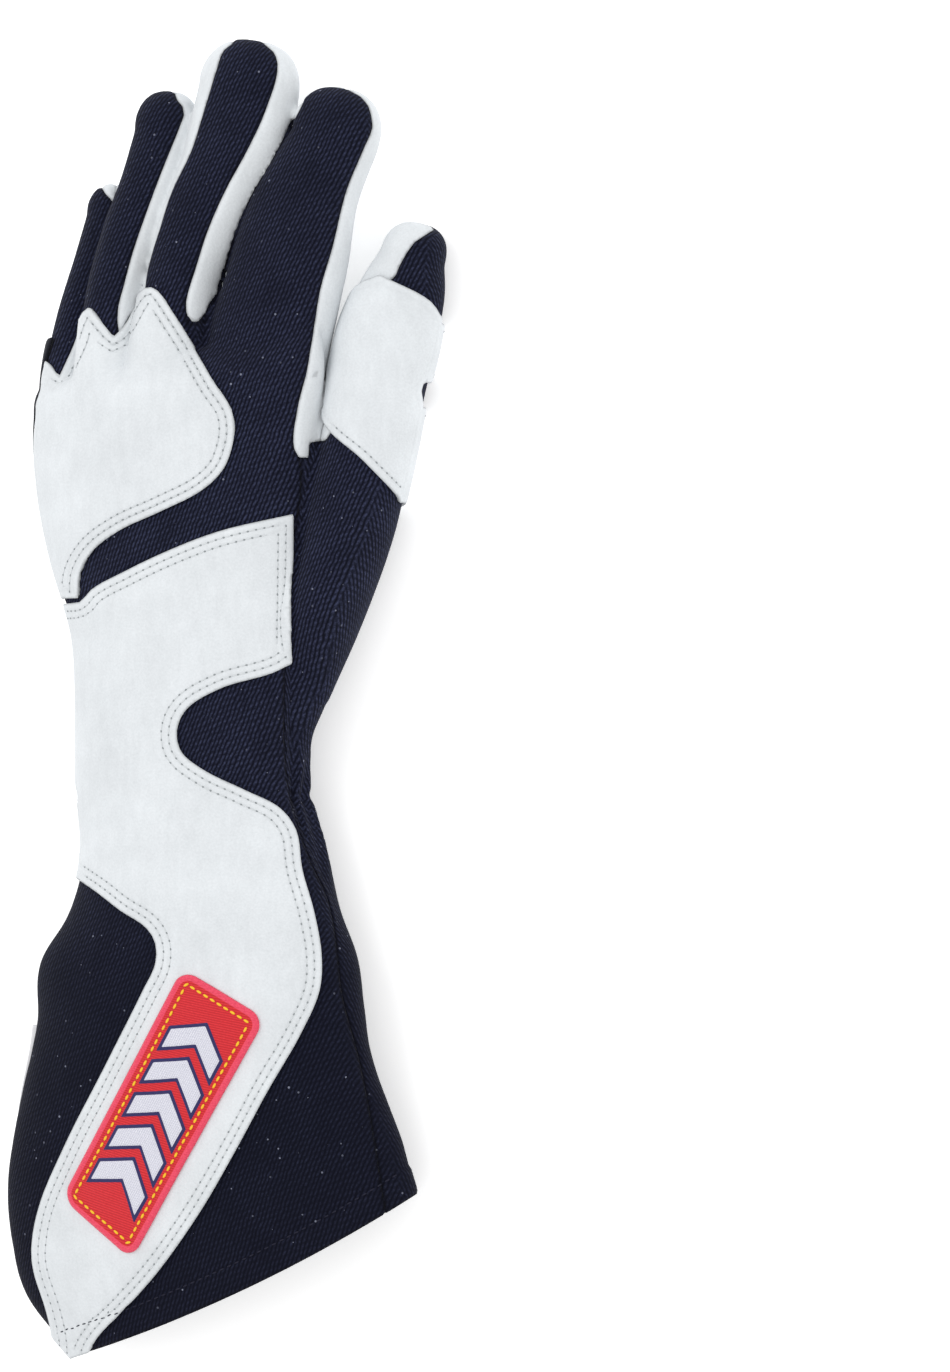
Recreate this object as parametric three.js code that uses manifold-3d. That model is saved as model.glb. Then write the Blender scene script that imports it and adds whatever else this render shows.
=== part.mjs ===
// A racing glove for the left hand, lying palm down: knit back, suede palm and a long gauntlet.
// Millimetres. +X points to the thumb side, +Y to the fingertips and +Z up off the surface.
import * as THREE from "three";
import { mergeVertices } from "three/addons/utils/BufferGeometryUtils.js";
import Module from "manifold-3d";

const wasm = await Module();
wasm.setup();

// Driving dimensions
const WALL = 2.2; // leather or knit with its lining
const PATCH = 1.2; // a suede patch sewn on top
const BADGE = 1.1; // the embroidered badge
const SEAM = 0.3; // gap between two pieces that meet
const SLIT = 0.5; // gap between two neighbouring fingers
const GATHER_DEPTH = 1; // depth of the pleats that the wrist elastic draws in
const CROWN = 2.5; // power of the blunt curve that closes a fingertip
const HULL_SIDES = 30; // facets round the hand and gauntlet
const LINING_SIDES = 18; // facets round the inside of them
const FINGER_SIDES = 12;
const FINGER_LINING_SIDES = 6;
const WELD = 1e-3; // points closer than this are one
const FAR = 400; // reach of a cutting solid, past everything
const LINING_EVEN = 0.2; // share of a facet's sagitta that the lining is moved out by
const FINE = 0.08; // details smaller than this are left out of a finished piece

// Outlines are drawn as the glove is seen from above and a little from the thumb side:
// u runs to the thumb side and v to the fingertips on a plane tilted by this angle.
const TILT = THREE.MathUtils.degToRad(25);
const SIN = Math.sin(TILT);
const COS = Math.cos(TILT);

const table = (columns, rows) =>
  rows.map((row) => Object.fromEntries(columns.map((name, i) => [name, row[i]])));

// Sections of the hand and gauntlet from hem to knuckles. A section runs from its seen left edge to
// its seen right edge, is 2 x thick high with its middle at lift, and roll raises the thumb side.
const BODY = table(
  ["leftU", "leftV", "rightU", "rightV", "thick", "lift", "roll"],
  [
    [22, 0.5, 127.5, 51, 16, 15.5, 0],
    [10, 18, 125.5, 58, 18, 17.5, 0],
    [3, 36, 122.5, 68, 19.5, 19, 0],
    [2.5, 55, 119, 80, 20.5, 20, 0],
    [6, 77, 115, 94, 21.5, 21, 0],
    [10.5, 102, 111.5, 109, 22, 21.5, 0],
    [13, 122, 109.5, 124, 21.5, 21, 0],
    [19.5, 134.5, 105.5, 136, 21, 20.5, 0],
    [23, 156, 100, 156, 20, 19.5, 0],
    [22, 174, 95, 174, 20, 19, 0],
    [21.5, 202, 98, 202, 19, 19, 0],
    [20, 221, 100, 221, 18.5, 19, 0],
    [14.5, 244, 99.3, 244, 18.5, 19, 2],
    [10, 266, 97.5, 266, 18.5, 19.5, 4],
    [9.3, 286, 97.3, 287, 17, 20.5, 7],
    [12, 296.5, 98.5, 308, 14, 21, 8],
    [15, 299, 97, 316, 9, 21, 8],
  ],
);

// The lower side is pressed flat on the surface. Under the hand it stands on the grip patch.
const GRIP_FROM = 190;
const GRIP_FULL = 206;
const floorAt = (v) => (PATCH + SEAM) * THREE.MathUtils.smoothstep(v, GRIP_FROM, GRIP_FULL);

// Sections of the fingers and thumb from root to tip, then the tip itself. The web to the next
// finger on the thumb side is at web, measured along v.
const DIGIT_COLUMNS = ["v", "left", "right", "lift", "thick"];
const DIGITS = {
  little: {
    rows: table(DIGIT_COLUMNS, [
      [272, 14, 30, 17, 9],
      [300, 11.5, 31.5, 13, 10.5],
      [320, 17.2, 34.7, 11.2, 9],
      [338.5, 23.2, 40.2, 9.5, 8.3],
      [348, 26, 42.5, 8.7, 8],
    ]),
    tip: [34.5, 358.5, 8],
    web: 300.5,
  },
  ring: {
    rows: table(DIGIT_COLUMNS, [
      [276, 21, 43, 19, 11.5],
      [305, 24.3, 45.7, 20.2, 12],
      [326, 26.5, 46.5, 20, 10.5],
      [345, 31.4, 52, 18, 9.7],
      [363, 37.8, 58, 14, 9.5],
      [373, 40.7, 60.5, 11.5, 9.5],
    ]),
    tip: [51.5, 385.5, 9.5],
    web: 311.5,
  },
  middle: {
    rows: table(DIGIT_COLUMNS, [
      [276, 38, 66, 20.5, 12.5],
      [305, 40, 67.5, 21.7, 13.5],
      [326, 43.8, 67.5, 21.5, 11.5],
      [347, 48.5, 75.5, 19, 10.5],
      [369, 56, 86.5, 15, 10],
      [385, 58, 91.5, 11, 9.5],
    ]),
    tip: [75.5, 402.5, 9.3],
    web: 317,
  },
  index: {
    rows: table(DIGIT_COLUMNS, [
      [278, 61, 95, 20.5, 12.5],
      [308, 61.5, 100.5, 21, 13],
      [332.5, 68, 106, 20.5, 11],
      [354, 75.5, 110.2, 17, 10],
      [370, 84.5, 115.3, 12.5, 9.7],
    ]),
    tip: [102, 388, 9.3],
  },
  thumb: {
    rows: table(DIGIT_COLUMNS, [
      [204, 78, 95, 18, 11.5],
      [228, 85.5, 111.5, 18, 15.5],
      [250, 91, 121.5, 16.5, 15],
      [272, 96.3, 126.5, 15.3, 13.8],
      [296, 100, 131, 14.3, 12.8],
      [316, 105, 136, 13, 11.5],
      [328, 110.5, 137.8, 12, 10.7],
      [336, 115.5, 137.3, 11.3, 10],
    ]),
    tip: [129, 346.5, 10.5],
  },
};
const FINGERS = ["little", "ring", "middle", "index"];

// Outlines on the tilted drawing plane, as [u, v]. The parts of one that run off the glove are
// straight and only have to clear it.
const BACK_BODY = [
  [-30, -60], [122, -60], [119.5, 30], [117.5, 46.5], [110, 91.5], [105, 110], [100.5, 140.5],
  [95, 152.5], [88.5, 174], [87, 207.5], [89, 244], [91.5, 275], [89.5, 277.5], [90.5, 290],
  [93.5, 302], [95.5, 317], [70, 317.5], [58.5, 316], [46, 313], [34, 310.5], [18.5, 299], [-30, 296],
];
const BACK_OF = {
  little: [
    [6, 290], [30, 290], [33, 315], [38, 340], [34.5, 353.5], [32, 356], [26, 354], [18, 342], [6, 315],
  ],
  ring: [
    [20, 296], [34, 296], [34, 312.5], [36.5, 326.5], [40.5, 338.5], [45, 351], [49.5, 363], [54.5, 375],
    [56, 380], [50.5, 383.5], [45, 381], [42, 375], [40.5, 370], [33, 360], [24, 340], [20, 320],
  ],
  middle: [
    [37, 300], [57, 300], [57, 320], [59.5, 332.5], [63.5, 344.5], [69, 357], [75.5, 369], [81, 381],
    [84.5, 393], [83, 398], [78, 400.5], [72, 400.5], [68.5, 398.5], [66, 393.5], [62, 381], [60, 375],
    [55, 370], [46, 356], [40, 335], [37, 320],
  ],
  index: [
    [58, 300], [93, 300], [95.5, 314], [97.5, 326.5], [101, 338.5], [105.5, 357], [110.5, 369],
    [113.5, 376], [112.5, 382.5], [107, 388], [102, 391], [92, 389], [80, 378], [68, 358], [60, 335],
    [58, 318],
  ],
};
const KNUCKLE_PATCH = [
  [-20, 240], [24.5, 230.5], [25, 240], [29, 247], [37, 253], [50, 259], [62.5, 265.5], [68.5, 271.5],
  [71, 277.5], [72, 283.5], [71, 290], [63, 302], [55.5, 314], [47.5, 326], [45, 326], [39.5, 319.5],
  [34, 312.5], [28, 320.5], [22, 308], [18.5, 300], [13.5, 304.5], [-20, 306],
];
const FOREARM_PATCH = [
  [-20, 224], [24.5, 229], [28.5, 234.5], [38.5, 240.5], [51, 246.5], [66.5, 252.5], [89.5, 258],
  [89, 213], [85.5, 210.5], [67, 204.5], [57, 198], [54.5, 192], [55.5, 186], [62.5, 180],
  [74.5, 174], [85.5, 168], [90, 161.5], [92, 149.5], [95.5, 137], [98, 123.5], [97.5, 113],
  [92, 100.5], [81.5, 82.5], [71.5, 64], [61, 46], [48, 27.5], [37, 15], [28.5, 4.5], [23, 2.5],
  [17.5, 6], [14.5, 15], [10, 27.5], [9.5, 33.5], [11.5, 46], [18.5, 64], [31, 88.5], [43.5, 113],
  [47, 121], [47, 127], [44, 131], [36, 137], [28, 143.5], [18.5, 149], [-20, 150],
];
const THUMB_GUARD = [
  [103, 287], [104, 296], [106, 311], [112, 327], [116.5, 330.5], [119.5, 329], [131, 322.5],
  [135, 317], [160, 315], [160, 293], [131, 293], [129, 297], [127.5, 295.5], [128.5, 291.5],
  [131, 288.5], [160, 288.5], [160, 262], [125.5, 256], [122, 261.5], [111, 274],
];
const BADGE_CORNERS = [[56.5, 119.5], [81.5, 104.5], [41, 31], [20, 49.5]];
const BADGE_RADIUS = 5;

// Outlines in plan, looking straight down through the glove, as [x, y].
const GRIP_PATCH = [
  [16, 309.5], [27.5, 312], [36, 304], [43.5, 301], [50, 312], [58, 316], [64, 310], [70, 307],
  [77, 318], [84, 323], [91, 318], [96, 311], [102, 318], [108, 321], [113, 316], [108, 306],
  [99, 292.5], [87, 286], [73, 283], [64.5, 268.5], [57, 239.5], [54.5, 226.5], [43.5, 215.5],
  [36, 211], [28, 215], [24, 223], [21.5, 250], [16, 270],
];
const THUMB_FRONT = [
  [112, 288], [96, 287], [76, 274.5], [66, 250], [66, 228], [71, 217], [78, 210.5], [84, 221.5],
  [90, 238.5], [104, 268.5], [119, 292], [127, 318], [133, 334], [136, 341], [141, 352], [110, 352],
];
// Leather that shows from above between the index finger and the thumb, and round the thumb's tip.
const THUMB_WRAP = [
  [88, 275], [94.5, 275], [94.8, 279.5], [99, 280.5], [101.5, 284], [104, 292], [112, 320],
  [118, 328], [120.6, 330.6], [121.8, 333.6], [123.8, 337.1], [126.4, 340.7], [132.5, 344.4],
  [140, 350], [140, 362], [125, 362], [116, 352], [106, 340], [100, 318], [97, 300], [88, 300],
];
const THUMB_TABS = [
  [170, 322], [145, 321], [136, 318], [131, 310], [135, 301], [146, 294.5], [160, 294],
  [160, 290], [140, 288], [131, 281], [122, 275], [118, 268], [119, 260], [125, 255.5], [133, 256],
  [140, 259], [170, 259],
];
const WRIST = 178.5; // the elastic, where the hand's panels meet the gauntlet's
const PALM_LEATHER = [[-30, WRIST], [76, WRIST], [82, 210], [120, 300], [160, 360], [160, 430], [-30, 430]];
// The knit thumb panel on the palm side lies beyond this line.
const THUMB_PANEL_PLAN = [
  [160, -60], [134, -60], [124, 60], [113, 110], [105, 150], [99, 178.5], [84, 200], [84, 221.5],
  [90, 238.5], [104, 268.5], [119, 292], [127, 318], [133, 334], [136, 341], [141, 352], [170, 352],
];

// The label tab: its stretch along the side seam, and how far it stands out at its upper end.
const LABEL = { from: 62, to: 100, out: 5.5, taper: 0.3, thick: 1.2, height: 19.5 };

// Geometry helpers

function solid(positions, indices) {
  const geometry = new THREE.BufferGeometry();
  geometry.setAttribute("position", new THREE.Float32BufferAttribute(positions, 3));
  geometry.setIndex(indices);
  return toSolid(geometry);
}

function toSolid(geometry) {
  const bare = geometry.clone();
  bare.deleteAttribute("normal");
  bare.deleteAttribute("uv");
  const merged = mergeVertices(bare, WELD);
  const vertProperties = merged.attributes.position.array;
  const triVerts = new Uint32Array(merged.index.array);
  const made = new wasm.Manifold(new wasm.Mesh({ numProp: 3, vertProperties, triVerts }));
  if (made.volume() > 0) return made;
  const turned = triVerts.slice();
  for (let i = 0; i < turned.length; i += 3) {
    turned[i] = triVerts[i + 2];
    turned[i + 2] = triVerts[i];
  }
  return new wasm.Manifold(new wasm.Mesh({ numProp: 3, vertProperties, triVerts: turned }));
}

// A closed skin through rings of equal count, with a point at each end.
function loft(rings, startPoint, endPoint) {
  const sides = rings[0].length;
  const points = [startPoint, ...rings.flat(), endPoint];
  const last = points.length - 1;
  const indices = [];
  for (let i = 0; i < sides; i++) {
    const next = (i + 1) % sides;
    indices.push(0, 1 + next, 1 + i);
    for (let ring = 0; ring < rings.length - 1; ring++) {
      const a = 1 + ring * sides + i;
      const b = 1 + ring * sides + next;
      indices.push(a, b, b + sides, a, b + sides, a + sides);
    }
    const top = 1 + (rings.length - 1) * sides;
    indices.push(top + i, top + next, last);
  }
  return solid(points.flatMap((p) => [p.x, p.y, p.z]), indices);
}

const middleOf = (ring) =>
  ring.reduce((sum, p) => sum.add(p), new THREE.Vector3()).divideScalar(ring.length);

const union = (solids) => solids.reduce((sum, each) => sum.add(each));

function largest(made) {
  return made.decompose().sort((a, b) => b.volume() - a.volume())[0];
}

// Plan x of a point seen at u and lying at height z.
const planX = (u, z) => (u + z * SIN) / COS;

// Half width of an upright ellipse seen half as wide as `half` through the tilt and its own roll.
function trueHalf(half, thick, roll) {
  const turn = TILT + roll;
  return Math.sqrt(half ** 2 - (thick * Math.sin(turn)) ** 2) / Math.cos(turn);
}

// The pleats round the wrist draw in every second facet on the palm side, and fade out from here.
const GATHER_MIDDLE = 172;
const GATHER_REACH = 24;
const GATHER_TOP = 0.25; // sine of the highest facet that is pleated
const GATHER_SIDE = 0.8; // cosine of the outermost one on the thumb side
function gather(v, angle, facet) {
  const pleated = Math.sin(angle) < GATHER_TOP && Math.cos(angle) < GATHER_SIDE;
  const along = Math.max(0, 1 - ((v - GATHER_MIDDLE) / GATHER_REACH) ** 2);
  return facet % 2 && pleated ? -GATHER_DEPTH * along : 0;
}

// A lining of few facets stands out a little, so that the wall keeps its thickness on average.
const evenOut = (offset, sides) => (offset < 0 ? 1 + (LINING_EVEN * Math.PI ** 2) / sides ** 2 : 1);

function bodyRing(row, offset, sides, pleated) {
  const roll = THREE.MathUtils.degToRad(row.roll);
  const half = (row.rightU - row.leftU) / 2;
  const even = evenOut(offset, sides);
  const wide = (trueHalf(half, row.thick, roll) + offset) * even;
  const high = (row.thick + offset) * even;
  const x = planX((row.leftU + row.rightU) / 2, row.lift);
  const ring = [];
  for (let i = 0; i < sides; i++) {
    const angle = (2 * Math.PI * i) / sides;
    const swing = pleated ? gather((row.leftV + row.rightV) / 2, angle, i) : 0;
    const across = (wide + swing) * Math.cos(angle);
    const up = (high + swing) * Math.sin(angle);
    const px = x + across * Math.cos(roll) - up * Math.sin(roll);
    const pz = row.lift + across * Math.sin(roll) + up * Math.cos(roll);
    const share = (px * COS - pz * SIN - row.leftU) / (row.rightU - row.leftU);
    const py = row.leftV + (row.rightV - row.leftV) * share;
    ring.push(new THREE.Vector3(px, py, Math.max(pz, floorAt(py) - offset)));
  }
  return ring;
}

const extrapolate = (first, second, far) =>
  Object.fromEntries(
    Object.keys(first).map((key) => [key, first[key] + (first[key] - second[key]) * far]),
  );

function body(offset, sides, open) {
  const rows = open ? [extrapolate(BODY[0], BODY[1], 1.2), ...BODY] : BODY;
  const rings = rows.map((row) => bodyRing(row, offset, sides, offset >= 0));
  const top = rings[rings.length - 1];
  if (offset < 0) top.forEach((p) => p.setY(p.y + offset));
  return loft(rings, middleOf(rings[0]), middleOf(top));
}

// One section of a digit, at right angles to its run. shrink draws it in towards a fingertip.
function digitRing(row, heading, offset, sides, shrink) {
  const half = ((row.right - row.left) / 2) * Math.cos(heading);
  const even = evenOut(offset, sides) * shrink;
  const wide = (trueHalf(half, row.thick, 0) + offset) * even;
  const high = (row.thick + offset) * even;
  const x = planX((row.left + row.right) / 2, row.lift);
  const ring = [];
  for (let i = 0; i < sides; i++) {
    const angle = (2 * Math.PI * i) / sides;
    const across = wide * Math.cos(angle);
    const py = row.v - across * Math.sin(heading);
    const pz = row.lift + high * Math.sin(angle);
    ring.push(
      new THREE.Vector3(x + across * Math.cos(heading), py, Math.max(pz, floorAt(py) - offset)),
    );
  }
  return ring;
}

const TIP_STEPS = [0.45, 0.77, 0.95];
const LINING_TIP_STEPS = [0.5, 0.87];

function digit(name, offset, sides) {
  const { tip } = DIGITS[name];
  const last = DIGITS[name].rows.length - 1;
  const rows = DIGITS[name].rows.filter(
    (row, i) => offset >= 0 || i === 0 || (last - i) % 2 === 0,
  );
  const rings = rows.map((row, i) => {
    const before = rows[Math.max(i - 1, 0)];
    const after = rows[Math.min(i + 1, rows.length - 1)];
    const run = after.v - before.v;
    const drift = (after.left + after.right - before.left - before.right) / 2;
    return digitRing(row, Math.atan2(drift, run), offset, sides, 1);
  });
  const base = rows[rows.length - 1];
  const from = new THREE.Vector3((base.left + base.right) / 2, base.v, base.lift);
  const to = new THREE.Vector3(...tip);
  const heading = Math.atan2(to.x - from.x, to.y - from.y);
  to.addScaledVector(new THREE.Vector3(Math.sin(heading), Math.cos(heading), 0), offset);
  for (const step of offset < 0 ? LINING_TIP_STEPS : TIP_STEPS) {
    const at = from.clone().lerp(to, step);
    const shrink = (1 - step ** CROWN) ** (1 / CROWN);
    const half = (base.right - base.left) / 2;
    const row = { v: at.y, left: at.x - half, right: at.x + half, lift: at.z, thick: base.thick };
    rings.push(digitRing(row, heading, offset, sides, shrink));
  }
  const end = new THREE.Vector3(planX(to.x, to.z), to.y, to.z);
  return loft(rings, middleOf(rings[0]), end);
}

// Outlines made solid: along the line of sight, straight down, or sideways from a height profile.

function prism(points, basis) {
  const shape = new THREE.Shape(points.map(([x, y]) => new THREE.Vector2(x, y)));
  const geometry = new THREE.ExtrudeGeometry(shape, { depth: 2 * FAR, bevelEnabled: false });
  geometry.translate(0, 0, -FAR);
  return toSolid(geometry.applyMatrix4(basis));
}

const axis = (x, y, z) => new THREE.Vector3(x, y, z);
const SIGHT = new THREE.Matrix4().makeBasis(axis(COS, 0, -SIN), axis(0, 1, 0), axis(SIN, 0, COS));
const DOWN = new THREE.Matrix4();
const SIDEWAYS = new THREE.Matrix4().makeBasis(axis(0, 1, 0), axis(0, 0, 1), axis(1, 0, 0));

// The outline moved outwards by a distance, corner by corner.
function grow(points, distance) {
  const winding = Math.sign(THREE.ShapeUtils.area(points.map(([x, y]) => ({ x, y }))));
  return points.map(([x, y], i) => {
    const [ax, ay] = points[(i + points.length - 1) % points.length];
    const [bx, by] = points[(i + 1) % points.length];
    const before = new THREE.Vector2(y - ay, ax - x).normalize();
    const after = new THREE.Vector2(by - y, x - bx).normalize();
    const out = before.clone().add(after).normalize();
    const reach = (winding * distance) / Math.max(out.dot(after), 0.5);
    return [x + out.x * reach, y + out.y * reach];
  });
}

const seen = (points, gap = 0) => prism(gap ? grow(points, gap) : points, SIGHT);
const plan = (points, gap = 0) => prism(gap ? grow(points, gap) : points, DOWN);
const stretchOf = (from, to) => seen([[-FAR, from], [FAR, from], [FAR, to], [-FAR, to]]);

// Everything above a height that is given along v, less a drop.
function above(heights, drop) {
  const low = heights.map(([v, z]) => [v, z - drop]);
  const [first, last] = [low[0], low[low.length - 1]];
  return prism(
    [[-FAR, first[1]], ...low, [FAR, last[1]], [FAR, FAR], [-FAR, FAR]],
    SIDEWAYS,
  );
}

// Middle height of the hand and gauntlet along v, where their side seams run.
const bodyHeights = [
  [0, 15],
  [75, 20.5],
  [125, 21],
  [180, 19],
  [240, 19],
  [310, 21],
];
const digitHeights = (name) => DIGITS[name].rows.map((row) => [row.v, row.lift]);

// The forms of hand, fingers and thumb at an offset from the outer skin

function form(offset, parted = true) {
  const inside = offset < 0;
  const sides = inside ? FINGER_LINING_SIDES : FINGER_SIDES;
  const away = Math.abs(offset) + SLIT;
  const parts = [body(offset, inside ? LINING_SIDES : HULL_SIDES, inside)];
  FINGERS.forEach((name, i) => {
    let finger = digit(name, offset, sides);
    const neighbour = FINGERS[i + 1];
    if (neighbour && parted) {
      const from = DIGITS[name].web + Math.min(offset, 0);
      const beyond = stretchOf(from, 2 * FAR);
      finger = finger.subtract(digit(neighbour, away, sides).intersect(beyond));
    }
    parts.push(finger);
  });
  parts.push(digit("thumb", offset, sides));
  return union(parts);
}

const skin = form(0);
const hollow = form(-WALL);
const patchBase = form(SEAM, false);
const patchTop = form(SEAM + PATCH, false);
const wall = skin.subtract(hollow);
const patchLayer = patchTop.subtract(patchBase);

// Cutting solids of the panels. A gap makes one a little larger, for its neighbours to be cut by.

const FOURCHETTE_DEPTH = 0.45; // share of a finger's half thickness that its side strip reaches down
const STRIP_END = 13; // a side strip ends this far before the fingertip
const STRIP_LEAD = 20; // and its dividing line starts and stops this far past both ends
const STRIP_REACH = 40;
const CROTCH = 4; // depth of the web that joins two side strips
const BRIDGE_HALF = 6; // half width of that web
const BRIDGE_TOP = 2; // how far it rises between the fingers
const BRIDGE_UNDER = 5; // and its lower and upper edge below the bigger finger's middle
const BRIDGE_OVER = -4;

const NEAR = 0.2; // what belongs to a finger reaches this far past its skin
const BACK_DROP = 1.5; // the back's lower edge on the body, below mid height
const backOfBody = (gap) => seen(BACK_BODY, gap).intersect(above(bodyHeights, BACK_DROP + gap));
const near = (name, gap) => digit(name, NEAR + gap, FINGER_SIDES);
const backOfFinger = (name, gap) =>
  seen(BACK_OF[name], gap).intersect(above(digitHeights(name), gap)).intersect(near(name, gap));

// One white strip along the facing sides of two fingers, joined in the crotch between them.
function sideStrips(little, big, gap) {
  const { web } = DIGITS[little];
  const root = web - CROTCH;
  const strips = [
    [little, 1],
    [big, -1],
  ].map(([name, side]) => {
    const { rows, tip } = DIGITS[name];
    const end = tip[1] - STRIP_END;
    const run = rows.filter((row) => row.v >= root - STRIP_LEAD);
    const middle = run.map((row) => [(row.left + row.right) / 2, row.v]);
    const line = [[middle[0][0], root - STRIP_LEAD], ...middle.slice(1), [tip[0], tip[1] + STRIP_LEAD]];
    const far = line.map(([u, v]) => [u + side * STRIP_REACH, v]).reverse();
    const length = stretchOf(root - gap, end + gap);
    const drop = FOURCHETTE_DEPTH * rows[rows.length - 3].thick;
    const upper = above(digitHeights(name), drop + gap);
    return near(name, gap).intersect(seen([...line, ...far], gap)).intersect(length).intersect(upper);
  });
  const u = DIGITS[big].rows.find((row) => row.v > web).left;
  const [left, right, top] = [u - BRIDGE_HALF, u + BRIDGE_HALF, web + BRIDGE_TOP];
  const bridge = seen([[left, root], [right, root], [right, top], [left, top]], gap)
    .intersect(above(digitHeights(big), BRIDGE_UNDER + gap))
    .subtract(above(digitHeights(big), BRIDGE_OVER - gap));
  return union([...strips, bridge]);
}

const bareBacks = (gap) => union(FINGERS.map((name) => backOfFinger(name, gap)));
const backsOut = bareBacks(SEAM).add(bareBacks(0));
const stripPairs = [
  ["fourchette_little_ring", "little", "ring"],
  ["fourchette_ring_middle", "ring", "middle"],
  ["fourchette_middle_index", "middle", "index"],
];
const stripSolids = stripPairs.map(([, a, b]) => sideStrips(a, b, 0).subtract(backsOut));
const stripsOut = union(stripPairs.map(([, a, b]) => sideStrips(a, b, SEAM)));

const backOut = backOfBody(SEAM).add(backsOut);
const backCut = backOfBody(0).subtract(stripsOut).add(bareBacks(0));

// The knit side panel: the thumb's back and the thumb side of wrist and gauntlet. It begins where
// the thumb-side edge of the back ends, up to the crotch of the thumb.
const THUMB_SIDE_EDGE = BACK_BODY.slice(1, 12);
const THUMB_CROTCH = 278;
// The palm's leather keeps the strip along the forefinger that lies here in plan.
const PALM_STRIP = [[0, 288], [112, 288], [110, 352], [110, FAR], [0, FAR]];
function thumbWrap(gap) {
  const upper = seen(THUMB_WRAP, gap).intersect(above(digitHeights("thumb"), gap));
  return upper.subtract(plan(PALM_STRIP));
}
function thumbPanelCut(gap) {
  const beyond = [[94, THUMB_CROTCH], [FAR, THUMB_CROTCH], [FAR, -60]];
  const beyondSeam = seen([...THUMB_SIDE_EDGE, ...beyond]);
  const top = beyondSeam.intersect(above(bodyHeights, BACK_DROP));
  const panel = plan(THUMB_PANEL_PLAN, gap).add(top.subtract(plan(THUMB_FRONT)));
  return panel.subtract(thumbWrap(SEAM - gap));
}

const rest = wall.subtract(backOut).subtract(stripsOut);
const thumbPanelOut = thumbPanelCut(SEAM);
const leather = rest.subtract(thumbPanelOut);
const palmSide = plan(PALM_LEATHER);
const handSide = stretchOf(WRIST, 2 * FAR);
const armSide = stretchOf(-FAR, WRIST - SEAM);
const belowElastic = plan(PALM_LEATHER, SEAM);
const thumbFrontCut = (gap) => plan(THUMB_FRONT, gap).add(thumbWrap(gap));
// The leather below the crotch of the thumb, with the forefinger's side, and that round the thumb.
const [thumbFront, thumbInner] = leather
  .intersect(thumbFrontCut(0))
  .decompose()
  .sort((a, b) => b.volume() - a.volume());

// Overlays: a layer lying on the skin, cut by its outline above or below mid height.
const topHalf = above(bodyHeights, BACK_DROP - 1);
const overlay = (outline) => patchLayer.intersect(seen(outline)).intersect(topHalf);

function thumbGuard() {
  const heights = digitHeights("thumb");
  const onTop = patchLayer.intersect(seen(THUMB_GUARD)).intersect(above(heights, 1));
  const tabs = patchLayer.intersect(plan(THUMB_TABS)).subtract(above(heights, -1));
  return largest(onTop.add(tabs));
}

function badge() {
  const corners = BADGE_CORNERS.map(([u, v]) => new THREE.Vector2(u, v));
  const outline = corners.flatMap((corner, i) => {
    const before = corners[(i + 3) % 4].clone().sub(corner).normalize();
    const after = corners[(i + 1) % 4].clone().sub(corner).normalize();
    return [0, 0.25, 0.5, 0.75, 1].map((t) => {
      const out = before.clone().multiplyScalar(BADGE_RADIUS * (1 - t) ** 2);
      out.addScaledVector(after, BADGE_RADIUS * t ** 2);
      return [corner.x + out.x, corner.y + out.y];
    });
  });
  const base = SEAM + PATCH + SEAM;
  const layer = body(base + BADGE, HULL_SIDES, false).subtract(body(base, HULL_SIDES, false));
  return largest(layer.intersect(seen(outline)).intersect(topHalf));
}

// A blank satin tab caught in the seam on the little finger's side of the gauntlet.
function sideLabel() {
  const sideSeam = (v) => {
    const next = BODY.findIndex((row) => row.leftV > v);
    const [low, high] = [BODY[next - 1], BODY[next]];
    const share = (v - low.leftV) / (high.leftV - low.leftV);
    const at = (key) => THREE.MathUtils.lerp(low[key], high[key], share);
    const half = trueHalf((at("rightU") - at("leftU")) / 2, at("thick"), 0);
    return planX((at("leftU") + at("rightU")) / 2, at("lift")) - half;
  };
  const { from, to, out, thick, height } = LABEL;
  const shape = new THREE.Shape([
    new THREE.Vector2(sideSeam(from) - out * LABEL.taper, from),
    new THREE.Vector2(sideSeam(from) + out, from),
    new THREE.Vector2(sideSeam(to) + out, to),
    new THREE.Vector2(sideSeam(to) - out, to),
  ]);
  const geometry = new THREE.ExtrudeGeometry(shape, { depth: thick, bevelEnabled: false });
  geometry.translate(0, 0, height);
  return largest(toSolid(geometry).subtract(form(SEAM, false)));
}

// The glove

const KNIT = { color: 0x16172a, roughness: 0.95, metalness: 0 };
const SUEDE = { color: 0xe8eeeb, roughness: 0.9, metalness: 0 };
const GRIP = { color: 0x0d0e13, roughness: 0.85, metalness: 0 };
const THREAD = { color: 0xb5231c, roughness: 0.6, metalness: 0 };
const SATIN = { color: 0xf2f2ee, roughness: 0.4, metalness: 0 };

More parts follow.
